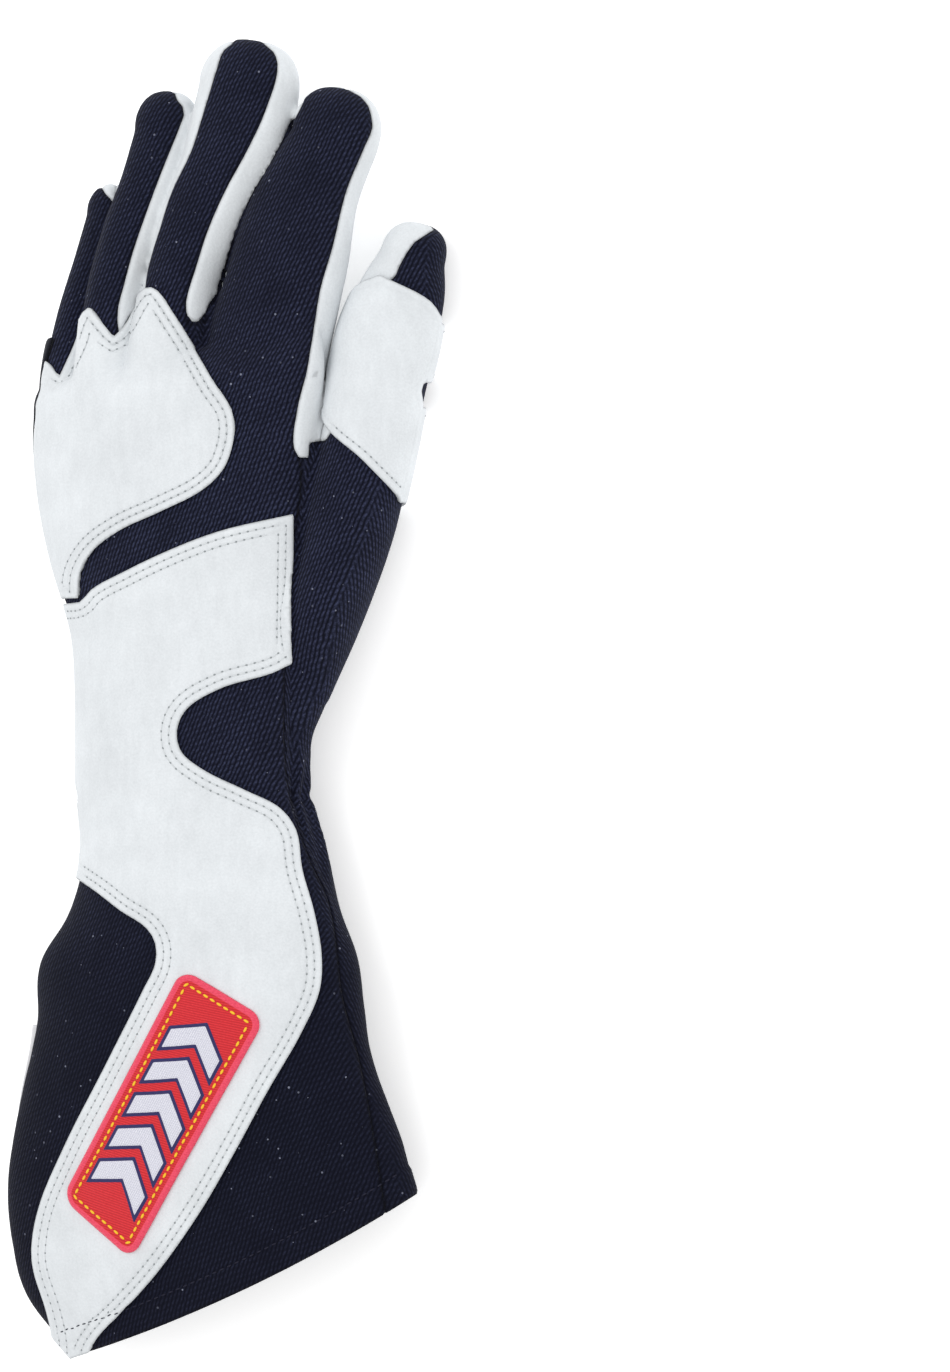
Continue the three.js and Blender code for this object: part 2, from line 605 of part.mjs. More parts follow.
const backKnit = wall.intersect(backCut);
const sideKnit = rest.intersect(thumbPanelCut(0));
const pieces = [
  ["hand_back", largest(backKnit.intersect(handSide)), KNIT],
  ["gauntlet_back", largest(backKnit.intersect(armSide)), KNIT],
  ["thumb_panel", largest(sideKnit.intersect(handSide)), KNIT],
  ["gauntlet_side", largest(sideKnit.intersect(armSide)), KNIT],
  ["palm", largest(leather.intersect(palmSide).subtract(thumbFrontCut(SEAM))), SUEDE],
  ["thumb_front", thumbFront, SUEDE],
  ["thumb_inner", thumbInner, SUEDE],
  ["gauntlet_palm", largest(leather.subtract(belowElastic)), KNIT],
  ...stripPairs.map(([name], i) => [name, largest(wall.intersect(stripSolids[i])), SUEDE]),
  ["knuckle_patch", largest(overlay(KNUCKLE_PATCH)), SUEDE],
  ["forearm_patch", largest(overlay(FOREARM_PATCH)), SUEDE],
  ["thumb_guard", thumbGuard(), SUEDE],
  ["grip_patch", largest(patchLayer.intersect(plan(GRIP_PATCH)).subtract(topHalf)), GRIP],
  ["badge", badge(), THREAD],
  ["side_label", sideLabel(), SATIN],
];

// The origin is the middle of the glove's box, on the surface that it lies on.
const box = new THREE.Box3();
for (const [, made] of pieces) {
  const { min, max } = made.boundingBox();
  box.expandByPoint(axis(...min)).expandByPoint(axis(...max));
}
const middle = box.getCenter(new THREE.Vector3());

// The finished piece in the glove's own frame, without its smallest details and loose crumbs.
function finished(made) {
  const moved = made.translate(-middle.x, -middle.y, -box.min.z).simplify(FINE);
  const { numProp, vertProperties, triVerts } = moved.getMesh();
  const positions = [];
  for (let i = 0; i < vertProperties.length; i += numProp)
    positions.push(...vertProperties.subarray(i, i + 3));
  return largest(solid(positions, Array.from(triVerts)));
}

const glove = new THREE.Group();
for (const [name, made, finish] of pieces) {
  const { numProp, vertProperties, triVerts } = finished(made).getMesh();
  const geometry = new THREE.BufferGeometry();
  const positions = new Float32Array((vertProperties.length / numProp) * 3);
  for (let i = 0; i < positions.length / 3; i++)
    positions.set(vertProperties.subarray(i * numProp, i * numProp + 3), i * 3);
  geometry.setAttribute("position", new THREE.BufferAttribute(positions, 3));
  geometry.setIndex(new THREE.BufferAttribute(triVerts, 1));
  geometry.computeVertexNormals();
  const mesh = new THREE.Mesh(geometry, new THREE.MeshStandardMaterial(finish));
  mesh.name = name;
  glove.add(mesh);
}

export default glove;
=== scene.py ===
"""A racing glove for the left hand, lying palm down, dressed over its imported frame.

The cloth and leather are cut from one smooth form of the glove, which is lofted here from the same
sections as the frame, in millimetres, and moved into the frame at the end.
"""

import math

import bmesh
import bpy
import numpy as np
from mathutils import Matrix, Vector, noise
from mathutils.bvhtree import BVHTree


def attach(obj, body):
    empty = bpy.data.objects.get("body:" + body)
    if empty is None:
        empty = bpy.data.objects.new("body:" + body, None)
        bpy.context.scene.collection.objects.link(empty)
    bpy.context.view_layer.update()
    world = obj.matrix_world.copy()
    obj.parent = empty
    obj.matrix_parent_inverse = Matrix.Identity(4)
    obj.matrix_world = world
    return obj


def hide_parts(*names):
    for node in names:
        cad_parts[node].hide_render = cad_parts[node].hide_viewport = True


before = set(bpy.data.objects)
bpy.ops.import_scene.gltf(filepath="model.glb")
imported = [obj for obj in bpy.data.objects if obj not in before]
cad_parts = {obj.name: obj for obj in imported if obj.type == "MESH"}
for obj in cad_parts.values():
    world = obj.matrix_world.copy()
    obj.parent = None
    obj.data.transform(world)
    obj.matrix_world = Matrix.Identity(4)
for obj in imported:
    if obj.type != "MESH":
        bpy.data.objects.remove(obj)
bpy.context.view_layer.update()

# Driving dimensions, in millimetres
MIDDLE = (84.6554, 201.5413)  # the frame's origin in plan, in the coordinates of the sections
TILT = math.radians(25)  # tilt of the drawing plane, and of the camera, to the thumb side
SIN, COS = math.sin(TILT), math.cos(TILT)
ACROSS = np.array([COS, 0, -SIN])  # u of the drawing plane
ALONG = np.array([0, 1, 0])  # v of the drawing plane
SIGHT = np.array([SIN, 0, COS])  # towards the camera
VOXEL = 1.1
PATCH_TOP = 1.45  # of a sewn-on patch, above the panels
PATCH_THICK = 1.3
PANEL_THICK = 1.5
BADGE_TOP = 2.45
BADGE_GRID = 0.36
YELLOW_INSET = 3.5
SEAM_DEPTH = 0.5  # of the groove where two panels meet
SEAM_REACH = 0.7
SMOOTHING = 12
PUFF = 0.3  # what evening the form out takes off it
UNDERSIDE = 0.3  # room under the cloth for its stitches
CRUMB = 400  # vertices of a loose piece that is dropped
NO_ROW = -50.0
PATCH_ROWS = (2.3, 4.5)  # distance of the stitched rows inside a patch's edge
GUARD_ROW = 2.4
GUARD_ROW_END = (126, 290)  # u and v past which the guard's row isn't seen
LONGEST_STEP = 6  # a row of stitches breaks where it would jump further
HEM_ROW = 8.5
HOLE_LONG, HOLE_WIDE, HOLE_RISE = 0.42, 0.27, 0.1  # half sizes of a needle hole's mark, a grey bead of painted shade
ZIGZAG_STEP = 3.65
ZIGZAG_V = (182.5, 190)
LABEL_FROM, LABEL_TO, LABEL_OUT, LABEL_Z = 66, 102, 3.6, 19
BACK_DROP = 2.5  # below a finger's middle height
WEB_CURVE, WEB_DEPTH = 0.28, 7  # of the rounded end of the leather between two fingers
CLEAR = 2.4  # room that the thumb leaves beside the forefinger

# The photograph: millimetres that a pixel shows, its size, and the row at v = 0
PIXEL = 0.305
WIDE, TALL = 950, 1372
BOTTOM = 1360
LENS, SENSOR = 900, 36
AIM_W = 54

# Sections of the hand and gauntlet from hem to knuckles
# (left u, left v, right u, right v, half thickness, lift, roll)
BODY = [
    (23, 0.5, 127.5, 51, 16, 15.5, 0),
    (9.4, 18, 125.3, 58, 18, 17.5, 0),
    (3.9, 36, 122.3, 68, 19.5, 19, 0),
    (2.5, 55, 117.4, 80, 20.5, 20, 0),
    (5.5, 77, 112.8, 94, 21.5, 21, 0),
    (11, 102, 110.8, 109, 22, 21.5, 0),
    (12.4, 122, 108.6, 124, 21.5, 21, 0),
    (20.2, 134.5, 104, 136, 21, 20.5, 0),
    (26, 156, 99.4, 156, 20, 19.5, 0),
    (24.8, 174, 94.2, 174, 20, 19, 0),
    (24.3, 190, 95, 190, 19.4, 19, 0),
    (24.1, 202, 99.5, 202, 19, 19, 0),
    (22.9, 221, 100, 221, 18.5, 19, 0),
    (16.3, 244, 99.3, 244, 18.5, 19, 2),
    (12.1, 266, 97.5, 266, 18.5, 19.5, 4),
    (11.5, 286, 97.3, 287, 17, 20.5, 7),
    (14, 296, 98.5, 308, 14, 21, 8),
    (18, 298, 97, 316, 9, 21, 8),
]
BODY_HEIGHTS = [(0, 15), (75, 20.5), (125, 21), (180, 19), (240, 19), (310, 21)]

# Sections of the fingers and thumb from root to tip (v, left, right, lift, thick), the tip itself
# (u, v, z), and where the web to the next finger ends (u, v)
DIGITS = {
    "little": (
        [
            (272, 14, 30, 17, 9),
            (300, 13.5, 31.5, 13, 10.5),
            (320, 17.5, 34.7, 11.2, 9),
            (338.5, 23.2, 40.2, 9.5, 8.3),
            (348, 26, 42.5, 8.7, 8),
        ],
        (35.2, 358.8, 8),
        (18.5, 300.5),
    ),
    "ring": (
        [
            (276, 21, 43, 19, 11.5),
            (305, 24.3, 45.7, 20.2, 12),
            (326, 26.5, 46.5, 20, 10.5),
            (345, 31.4, 52, 18, 9.7),
            (363, 37.8, 58, 14, 9.5),
            (373, 40.7, 60.5, 11.5, 9.5),
        ],
        (51.8, 387, 9.5),
        (34.7, 312),
    ),
    "middle": (
        [
            (276, 38, 66, 20.5, 12.5),
            (305, 40, 67.5, 21.7, 13.5),
            (326, 43.8, 67.5, 21.5, 11.5),
            (347, 48.5, 75.5, 19, 10.5),
            (369, 56, 86.5, 15, 10),
            (385, 60, 91.3, 11, 9.5),
        ],
        (78, 402.4, 9.3),
        (59.8, 317),
    ),
    "index": (
        [
            (278, 61, 95, 20.5, 12.5),
            (308, 63, 100.5, 21, 13),
            (332.5, 70, 106, 20.5, 11),
            (354, 77.7, 110.2, 17, 10),
            (370, 87, 115.9, 12.5, 9.7),
        ],
        (105.8, 387.5, 9.3),
        (95, 300),
    ),
    "thumb": (
        [
            (204, 80, 100.8, 18, 8),
            (228, 85.5, 111.6, 18, 15.5),
            (250, 91, 119.6, 16.5, 15),
            (272, 96.3, 124.8, 15.3, 13.8),
            (296, 100, 129.6, 14.3, 12.8),
            (316, 105, 134.5, 13, 11.5),
            (328, 110.5, 136.4, 12, 10.7),
            (336, 115.5, 136, 11.3, 10),
        ],
        (128.6, 346.2, 10.5),
        (95, 300),
    ),
}
FINGERS = ("little", "ring", "middle", "index")

# Outlines on the tilted drawing plane (u, v). Where one runs off the glove it only has to clear it.
BACK_BODY = [
    (-30, -60), (122, -60), (119.5, 30), (117.5, 46.5), (110, 91.5), (105, 110), (100.5, 140.5),
    (95, 152.5), (88.5, 174), (87, 207.5), (89, 244), (91.5, 275), (90, 277.5), (91, 290),
    (94, 302), (96, 317), (70, 317.5), (58.5, 316), (46, 313), (34, 310.5), (18.5, 299), (-30, 296),
]
BACK_OF = {
    "little": [
        (6, 290), (22, 290), (22.4, 302.7), (23, 307), (24.6, 312.8), (26.4, 317.7), (28.4, 324),
        (31, 332), (38, 342), (34.5, 352), (33.8, 354.3), (31.8, 356.2), (29, 362), (12, 350), (4, 315),
    ],
    "ring": [
        (20, 296), (37, 296), (36.6, 312), (35.8, 317), (36, 321), (37.6, 327), (40.7, 338.5),
        (45, 351), (49.5, 363), (55, 376.5), (56.3, 380), (55.8, 382.8), (54, 385), (52.5, 392),
        (38, 392), (26, 370), (22, 340), (19, 320),
    ],
    "middle": [
        (37, 300), (57.3, 300), (57.2, 318), (56.9, 322.6), (57.8, 326.5), (59.7, 332.5),
        (63.5, 344.5), (69, 357), (75.5, 369), (81, 381), (84.8, 395.5), (83.4, 399.5), (80.6, 402),
        (79, 410), (72, 410), (70.6, 402), (68, 400), (65.8, 394), (61.8, 381), (58, 369), (52.2, 357), (48.2, 344.7),
        (44.7, 332.5), (43, 324), (37, 318),
    ],
    "index": [
        (62, 300), (93.5, 300), (96, 314), (98, 326.5), (101.5, 338.5), (106.2, 357), (111.2, 369),
        (114, 376), (113.6, 379.6), (112.6, 382.8), (110.2, 385.6), (107.7, 387), (106, 395),
        (95, 395), (92.6, 385), (88.7, 377), (83, 366.4), (76.2, 354.6), (71.8, 344), (68, 331.4),
        (66, 325), (62.5, 319), (60, 312),
    ],
}
KNUCKLE_PATCH = [
    (-20, 234.5), (22, 232.5), (24.5, 232.5), (25, 240), (29, 247), (37, 253), (50, 259),
    (62.5, 265.5), (68.5, 271.5), (71, 277.5), (72, 283.5), (71, 290), (65.6, 298.3), (59.7, 307.9),
    (52.7, 319.8), (48.8, 325.8), (47, 327), (45, 326.7), (43, 325), (37.5, 315.4), (34.6, 312.1),
    (27.9, 321.2), (26, 319.5), (22.5, 310), (18.2, 299.9), (13.8, 305.5), (-20, 309),
]
FOREARM_PATCH = [
    (-20, 233), (22, 231), (25, 231.3), (28.5, 235), (38.5, 240.5), (51, 246.5), (66.5, 252.5),
    (89.5, 258), (89, 213), (85.5, 210.5), (67, 204.5), (57, 198), (54.5, 192), (55.5, 186),
    (62.5, 180), (74.5, 174), (85.5, 168), (90, 161.5), (92, 149.5), (95.5, 137), (98, 123.5),
    (97.5, 113), (92.3, 100.5), (82.1, 82.5), (72.2, 64), (61.8, 46), (48.8, 27.5), (37.8, 15),
    (31.8, 9), (28.6, 4.5), (27, 0.5), (25.5, -2), (17, -2), (16.5, 6), (14.5, 15), (10.6, 27.5), (10.1, 33.5), (12.2, 46),
    (19.6, 64), (32, 88.5), (44.3, 113), (48, 121), (48, 127), (45.5, 131.5), (37.3, 137),
    (28.8, 143.5), (19, 149), (-20, 150),
]
THUMB_GUARD = [
    (99, 287), (100, 296), (102.5, 311), (109.5, 327), (116.5, 330.5), (119.5, 329), (131, 322.5),
    (135, 317), (160, 315), (160, 300), (131, 300), (129.2, 299), (127.8, 295.5), (128.2, 292),
    (129.6, 290.2), (160, 290), (160, 262), (125.5, 256), (122, 261.5), (111, 274),
]
THUMB_WRAP = [
    (88, 275), (94.5, 275), (94.8, 279.5), (99, 280.5), (101.5, 284), (104, 292), (112, 320),
    (118, 328), (120.6, 330.6), (121.8, 333.6), (123.8, 337.1), (126.4, 340.7), (133, 345.2),
    (140, 350), (140, 362), (125, 362), (116, 352), (106, 340), (100, 318), (97, 300), (88, 300),
]
BADGE_CORNERS = [(56.5, 119.5), (81.5, 104.5), (41, 31), (20, 49.5)]
BADGE_RADIUS = 5

# Outlines in plan (x, y), looking straight down through the glove
GRIP_PATCH = [
    (16, 309.5), (27.5, 312), (36, 304), (43.5, 301), (50, 312), (58, 316), (64, 310), (70, 307),
    (77, 318), (84, 323), (91, 318), (96, 311), (102, 318), (108, 321), (113, 316), (108, 306),
    (99, 292.5), (87, 286), (73, 283), (64.5, 268.5), (57, 239.5), (54.5, 226.5), (43.5, 215.5),
    (36, 211), (28, 215), (24, 223), (21.5, 250), (16, 270),
]
THUMB_FRONT = [
    (112, 288), (96, 287), (76, 274.5), (66, 250), (66, 228), (71, 217), (78, 210.5), (84, 221.5),
    (90, 238.5), (104, 268.5), (119, 292), (127, 318), (133, 334), (136, 341), (141, 352), (110, 352),
]
THUMB_TABS = [
    (170, 316), (146, 315.5), (137, 313), (131.5, 308), (135, 304), (142, 301), (147, 298.5),
    (160, 297), (160, 291), (146, 290.5), (140, 289), (131, 282), (122, 275), (118, 268), (119, 263),
    (125, 259.5), (133, 259.5), (141, 261.5), (170, 261.5),
]
WRIST = 178.5
CROTCH_V = 291  # where the thumb's front leather ends between thumb and forefinger
PALM_LEATHER = [(-30, WRIST), (76, WRIST), (82, 210), (120, 300), (160, 360), (160, 430), (-30, 430)]
THUMB_PANEL_PLAN = [
    (160, -60), (134, -60), (124, 60), (113, 110), (105, 150), (99, 178.5), (84, 200), (84, 221.5),
    (90, 238.5), (104, 268.5), (119, 292), (127, 318), (133, 334), (136, 341), (141, 352), (170, 352),
]


# Curves and fields


def eased(rows, column, at):
    """A smooth curve through one column of a table whose first column is the position."""
    x = np.array([row[0] for row in rows], float)
    y = np.array([row[column] for row in rows], float)
    slope = np.gradient(y, x)
    i = np.clip(np.searchsorted(x, at, side="right") - 1, 0, len(x) - 2)
    run = x[i + 1] - x[i]
    t = (at - x[i]) / run
    return (
        (2 * t**3 - 3 * t**2 + 1) * y[i]
        + (t**3 - 2 * t**2 + t) * run * slope[i]
        + (3 * t**2 - 2 * t**3) * y[i + 1]
        + (t**3 - t**2) * run * slope[i + 1]
    )


def plan_x(u, z):
    """Plan x of a point seen at u and lying at height z."""
    return (u + z * SIN) / COS


def true_half(half, thick, roll=0.0):
    """Half width of an upright ellipse seen half as wide as `half` through the tilt and its roll."""
    turn = TILT + roll
    return np.sqrt(half**2 - (thick * np.sin(turn)) ** 2) / np.cos(turn)


def step(x, low, high):
    """Smoothly from 0 at low to 1 at high."""
    t = np.clip((x - low) / (high - low), 0, 1)
    return t * t * (3 - 2 * t)


def floor_at(v):
    """Height of the lower side, which stands on the grip patch under the hand."""
    return 1.5 * step(v, 190, 206)


def rounded(points, spacing=2.5, corner=50):
    """A closed outline made smooth, apart from its sharp corners."""
    p = np.array(points, float)
    ahead = np.roll(p, -1, 0) - p
    length = np.linalg.norm(ahead, axis=1, keepdims=True)
    unit = ahead / length
    before = np.roll(unit, 1, 0)
    sharp = (unit * before).sum(1) < math.cos(math.radians(corner))
    lean = unit + before
    lean /= np.maximum(np.linalg.norm(lean, axis=1, keepdims=True), 1e-6)
    out = np.where(sharp[:, None], unit, lean) * length
    into = np.where(np.roll(sharp, -1)[:, None], unit, np.roll(lean, -1, 0)) * length
    curve = []
    for a, b, m, n, reach in zip(p, np.roll(p, -1, 0), out, into, length[:, 0]):
        cuts = max(1, int(round(min(reach, 40) / spacing)))
        t = (np.arange(cuts) / cuts)[:, None]
        curve.append(
            (2 * t**3 - 3 * t**2 + 1) * a
            + (t**3 - 2 * t**2 + t) * m
            + (3 * t**2 - 2 * t**3) * b
            + (t**3 - t**2) * n
        )
    return np.concatenate(curve)


def inside(points, outline):
    """Signed distance of 2-D points from an outline, positive inside, and the unit way to its edge."""
    a = np.asarray(outline, np.float32)
    b = np.roll(a, -1, 0)
    d = b - a
    size = (d * d).sum(1)
    signed = np.empty(len(points), np.float32)
    way = np.empty((len(points), 2), np.float32)
    for start in range(0, len(points), 8000):
        p = points[start : start + 8000, None].astype(np.float32)
        off = p - a
        h = np.clip((off * d).sum(2) / size, 0, 1)
        gap = off - h[:, :, None] * d
        far = (gap * gap).sum(2)
        best = far.argmin(1)
        row = np.arange(len(best))
        near = gap[row, best]
        reach = np.sqrt(far[row, best])
        rises = (a[:, 1] <= p[:, :, 1]) != (b[:, 1] <= p[:, :, 1])
        with np.errstate(divide="ignore", invalid="ignore"):
            cross = a[:, 0] + (p[:, :, 1] - a[:, 1]) / d[:, 1] * d[:, 0]
        odd = (rises & (p[:, :, 0] < cross)).sum(1) % 2
        signed[start : start + 8000] = np.where(odd, reach, -reach)
        way[start : start + 8000] = near / np.maximum(reach, 1e-6)[:, None]
    return signed, way


class Skin:
    """Points of the glove's surface with their normals, and fields of distance on it."""

    def __init__(self, co, no):
        self.co, self.no = co, no
        self.u = co @ ACROSS
        self.v = co[:, 1]

    def _on_surface(self, signed, slope):
        steep = np.sqrt(np.maximum(1 - (slope * self.no).sum(1) ** 2, 0.06))
        return signed / steep

    def seen(self, outline, where=None):
        """Distance inside an outline on the drawing plane."""
        return self._field(np.stack([self.u, self.v], 1), outline, (ACROSS, ALONG), where)

    def plan(self, outline, where=None):
        """Distance inside an outline in plan."""
        return self._field(self.co[:, :2], outline, (np.array([1, 0, 0]), ALONG), where)

    def _field(self, flat, outline, axes, where):
        made = np.full(len(self.co), -99.0)
        where = np.ones(len(self.co), bool) if where is None else where
        signed, way = inside(flat[where], outline)
        slope = way[:, :1] * axes[0] + way[:, 1:] * axes[1]
        steep = np.sqrt(np.maximum(1 - (slope * self.no[where]).sum(1) ** 2, 0.06))
        made[where] = signed / steep
        return made

    def above(self, heights, drop=0.0):
        """Distance above a height that is given along v."""
        v, z = zip(*heights)
        signed = self.co[:, 2] - (np.interp(self.v, v, z) - drop)
        return self._on_surface(signed, np.array([0, 0, 1.0]))


# The glove's form


class Tube:
    """A loft through smooth sections. It knows how far points are from its skin."""

    def __init__(self, centres, sides, ups, wide, high):
        self.c, self.side, self.up = map(np.asarray, (centres, sides, ups))
        self.wide, self.high = np.asarray(wide), np.asarray(high)

    def ring(self, count):
        a = np.linspace(-math.pi / 2, 1.5 * math.pi, count + 1)
        x = self.wide[:, None, None] * np.cos(a)[None, :, None] * self.side[:, None]
        y = self.high[:, None, None] * np.sin(a)[None, :, None] * self.up[:, None]
        return self.c[:, None] + x + y

    def locate(self, co):
        """Nearest section, angle round it and distance outside it of each point."""
        index = np.empty(len(co), int)
        for start in range(0, len(co), 8000):
            p = co[start : start + 8000, None, :2]
            index[start : start + 8000] = ((p - self.c[None, :, :2]) ** 2).sum(2).argmin(1)
        off = co - self.c[index]
        across = (off * self.side[index]).sum(1) / self.wide[index]
        up = (off * self.up[index]).sum(1) / self.high[index]
        ratio = np.maximum(np.hypot(across, up), 1e-3)
        return index, np.arctan2(up, across), np.linalg.norm(off, axis=1) * (1 - 1 / ratio)

    def cloth(self, index, angle):
        """Length round the section from its top, which is how flat cloth lies round it."""
        a = np.linspace(-math.pi, math.pi, 121)
        mid = (a[1:] + a[:-1]) / 2
        piece = np.hypot(self.wide[:, None] * np.sin(mid), self.high[:, None] * np.cos(mid)) * (a[1] - a[0])
        run = np.concatenate([np.zeros((len(piece), 1)), np.cumsum(piece, 1)], 1)
        run -= run[:, 90:91]
        place = np.clip((angle + math.pi) / (2 * math.pi) * 120, 0, 119.999)
        low = place.astype(int)
        share = place - low
        length = run[index, low] * (1 - share) + run[index, low + 1] * share
        total = run[index, -1] - run[index, 0]
        return np.where(angle < -math.pi / 2, length + total, length)


def body_tube():
    keyed = [((row[1] + row[3]) / 2, *row) for row in BODY]
    first, second = keyed[0], keyed[1]
    keyed.insert(0, tuple(a + (a - b) * 1.2 for a, b in zip(first, second)))
    at = np.arange(keyed[0][0], keyed[-1][0] + 0.1, 1.6)
    left_u, left_v, right_u, right_v, thick, lift, roll = (eased(keyed, i, at) for i in range(1, 8))
    roll = np.radians(roll)
    half = (right_u - left_u) / 2
    wide = true_half(half, thick, roll)
    centres = np.stack([plan_x((left_u + right_u) / 2, lift), (left_v + right_v) / 2, lift], 1)
    slant = (right_v - left_v) / (right_u - left_u)  # rise of v with u across the section
    sides = np.stack([np.cos(roll), slant * (np.cos(roll) * COS - np.sin(roll) * SIN), np.sin(roll)], 1)
    ups = np.stack([-np.sin(roll), slant * (-np.sin(roll) * COS - np.cos(roll) * SIN), np.cos(roll)], 1)
    return Tube(centres, sides, ups, wide, thick)


def digit_tube(name):
    rows, tip, _ = DIGITS[name]
    at = np.arange(rows[0][0], rows[-1][0], 1.4)
    at = np.append(at, rows[-1][0])
    left, right, lift, thick = (eased(rows, i, at) for i in range(1, 5))
    heading = np.arctan(np.gradient((left + right) / 2, at))
    u, v, z, half, shrink = (left + right) / 2, at, lift, (right - left) / 2, np.ones(len(at))
    base = np.array([u[-1], v[-1], z[-1]])
    to = np.array(tip, float)
    aim = math.atan2(to[0] - base[0], to[1] - base[1])
    steps = np.sin(np.linspace(0, math.pi / 2, 15)[1:]) * 0.9995
    points = base + (to - base) * steps[:, None]
    grow = lambda line, more: np.concatenate([line, more])
    u, v, z = grow(u, points[:, 0]), grow(v, points[:, 1]), grow(z, points[:, 2])
    half, thick = grow(half, np.full(14, half[-1])), grow(thick, np.full(14, thick[-1]))
    turn = np.minimum(np.linspace(0.25, 3, 14), 1)
    heading = grow(heading, heading[-1] + (aim - heading[-1]) * turn)
    shrink = grow(shrink, (1 - steps**2.5) ** (1 / 2.5))
    wide = true_half(half * np.cos(heading), thick) * shrink
    centres = np.stack([plan_x(u, z), v, z], 1)
    sides = np.stack([np.cos(heading), -np.sin(heading), np.zeros(len(v))], 1)
    ups = np.tile([0.0, 0.0, 1.0], (len(v), 1))
    return Tube(centres, sides, ups, wide, thick * shrink)


TUBES = {"body": body_tube(), **{name: digit_tube(name) for name in DIGITS}}


def lofted(tube, count):
    """A closed mesh round a tube, made from a grid whose two long edges are welded."""
    rings = tube.ring(count)
    rings[:, :, 2] = np.maximum(rings[:, :, 2], floor_at(rings[:, :, 1]))
    bm = bmesh.new()
    across, along = rings.shape[1], rings.shape[0]
    bmesh.ops.create_grid(bm, x_segments=across - 1, y_segments=along - 1, size=1)
    for vert in bm.verts:
        i = round((vert.co.x + 1) / 2 * (across - 1))
        j = round((vert.co.y + 1) / 2 * (along - 1))
        vert.co = rings[j, i]
    bmesh.ops.remove_doubles(bm, verts=bm.verts, dist=1e-4)
    ends = [edge for edge in bm.edges if edge.is_boundary]
    bmesh.ops.holes_fill(bm, edges=ends, sides=0)
    bmesh.ops.recalc_face_normals(bm, faces=bm.faces)
    return bm


def mesh_object(name, bm):
    mesh = bpy.data.meshes.new(name)
    bm.to_mesh(mesh)
    bm.free()
    made = bpy.data.objects.new(name, mesh)
    bpy.context.scene.collection.objects.link(made)
    return made


def applied(made):
    """The object's mesh with its modifiers applied."""
    graph = bpy.context.evaluated_depsgraph_get()
    mesh = bpy.data.meshes.new_from_object(made.evaluated_get(graph))
    old = made.data
    made.modifiers.clear()
    made.data = mesh
    bpy.data.meshes.remove(old)
    return made


def arrays(mesh):
    count = len(mesh.vertices)
    co, no = np.empty(count * 3), np.empty(count * 3)
    mesh.vertices.foreach_get("co", co)
    mesh.vertex_normals.foreach_get("vector", no)
    return co.reshape(-1, 3), no.reshape(-1, 3)


def clear_of(part, tube):
    """Presses a part in where it would touch a neighbouring tube beyond their crotch."""
    co = np.array([vert.co for vert in part.verts])
    index, _, out = tube.locate(co)
    push = np.maximum(CLEAR * step(co[:, 1], 288, 300) - out, 0) * step(co[:, 1], 288, 296)
    way = co - tube.c[index]
    way[:, 1] = 0
    way /= np.linalg.norm(way, axis=1, keepdims=True)
    for vert, place in zip(part.verts, co + way * push[:, None]):
        vert.co = place


def base_form():
    """Hand, fingers, thumb and gauntlet as one closed, evenly meshed form."""
    whole = bmesh.new()
    for name, tube in TUBES.items():
        part = lofted(tube, 160 if name == "body" else 72)
        if name == "thumb":
            clear_of(part, TUBES["index"])
        mesh = bpy.data.meshes.new("part")
        part.to_mesh(mesh)
        part.free()
        whole.from_mesh(mesh)
        bpy.data.meshes.remove(mesh)
    form = mesh_object("form", whole)
    remesh = form.modifiers.new("even", "REMESH")
    remesh.mode = "VOXEL"
    remesh.voxel_size = VOXEL
    smooth = form.modifiers.new("smooth", "SMOOTH")
    smooth.factor = 0.5
    smooth.iterations = 4
    return applied(form)


def noise_at(co, size, seed):
    """Smooth noise from -1 to 1 whose features are about `size` across."""
    shift = Vector((seed * 17.3, seed * 5.1, seed * 29.7))
    return np.array([noise.noise(Vector(p) / size + shift) for p in co])


# Cutting along fields


def edge_ends(mesh):
    ends = np.empty(len(mesh.edges) * 2, np.int32)
    mesh.edges.foreach_get("vertices", ends)
    return ends.reshape(-1, 2).T


def evened(mesh, rows, times=6):
    """Rows of one value per vertex, each smoothed along the mesh."""
    a, b = edge_ends(mesh)
    size = len(mesh.vertices)
    count = np.bincount(a, minlength=size) + np.bincount(b, minlength=size)
    for _ in range(times):
        rows = [(np.bincount(a, row[b], size) + np.bincount(b, row[a], size)) / count for row in rows]
    return np.stack(rows)


def without_crumbs(mesh, fields):
    """Gives each loose crumb of a label to the label round it."""
    a, b = edge_ends(mesh)
    labels = fields.argmax(0)
    same = labels[a] == labels[b]
    group, before = np.arange(len(labels)), None
    while before is None or (group != before).any():
        before = group.copy()
        low = np.minimum(before[a[same]], before[b[same]])
        np.minimum.at(group, before[a[same]], low)
        np.minimum.at(group, before[b[same]], low)
        group = group[group]
    small = np.bincount(group, minlength=len(group))[group] < CRUMB
    for root in np.unique(group[small]):
        own = group == root
        round_it = np.concatenate([labels[b[own[a] & ~own[b]]], labels[a[own[b] & ~own[a]]]])
        if len(round_it):
            fields[np.bincount(round_it).argmax(), own] = fields[:, own].max(0) + 0.01
    return fields


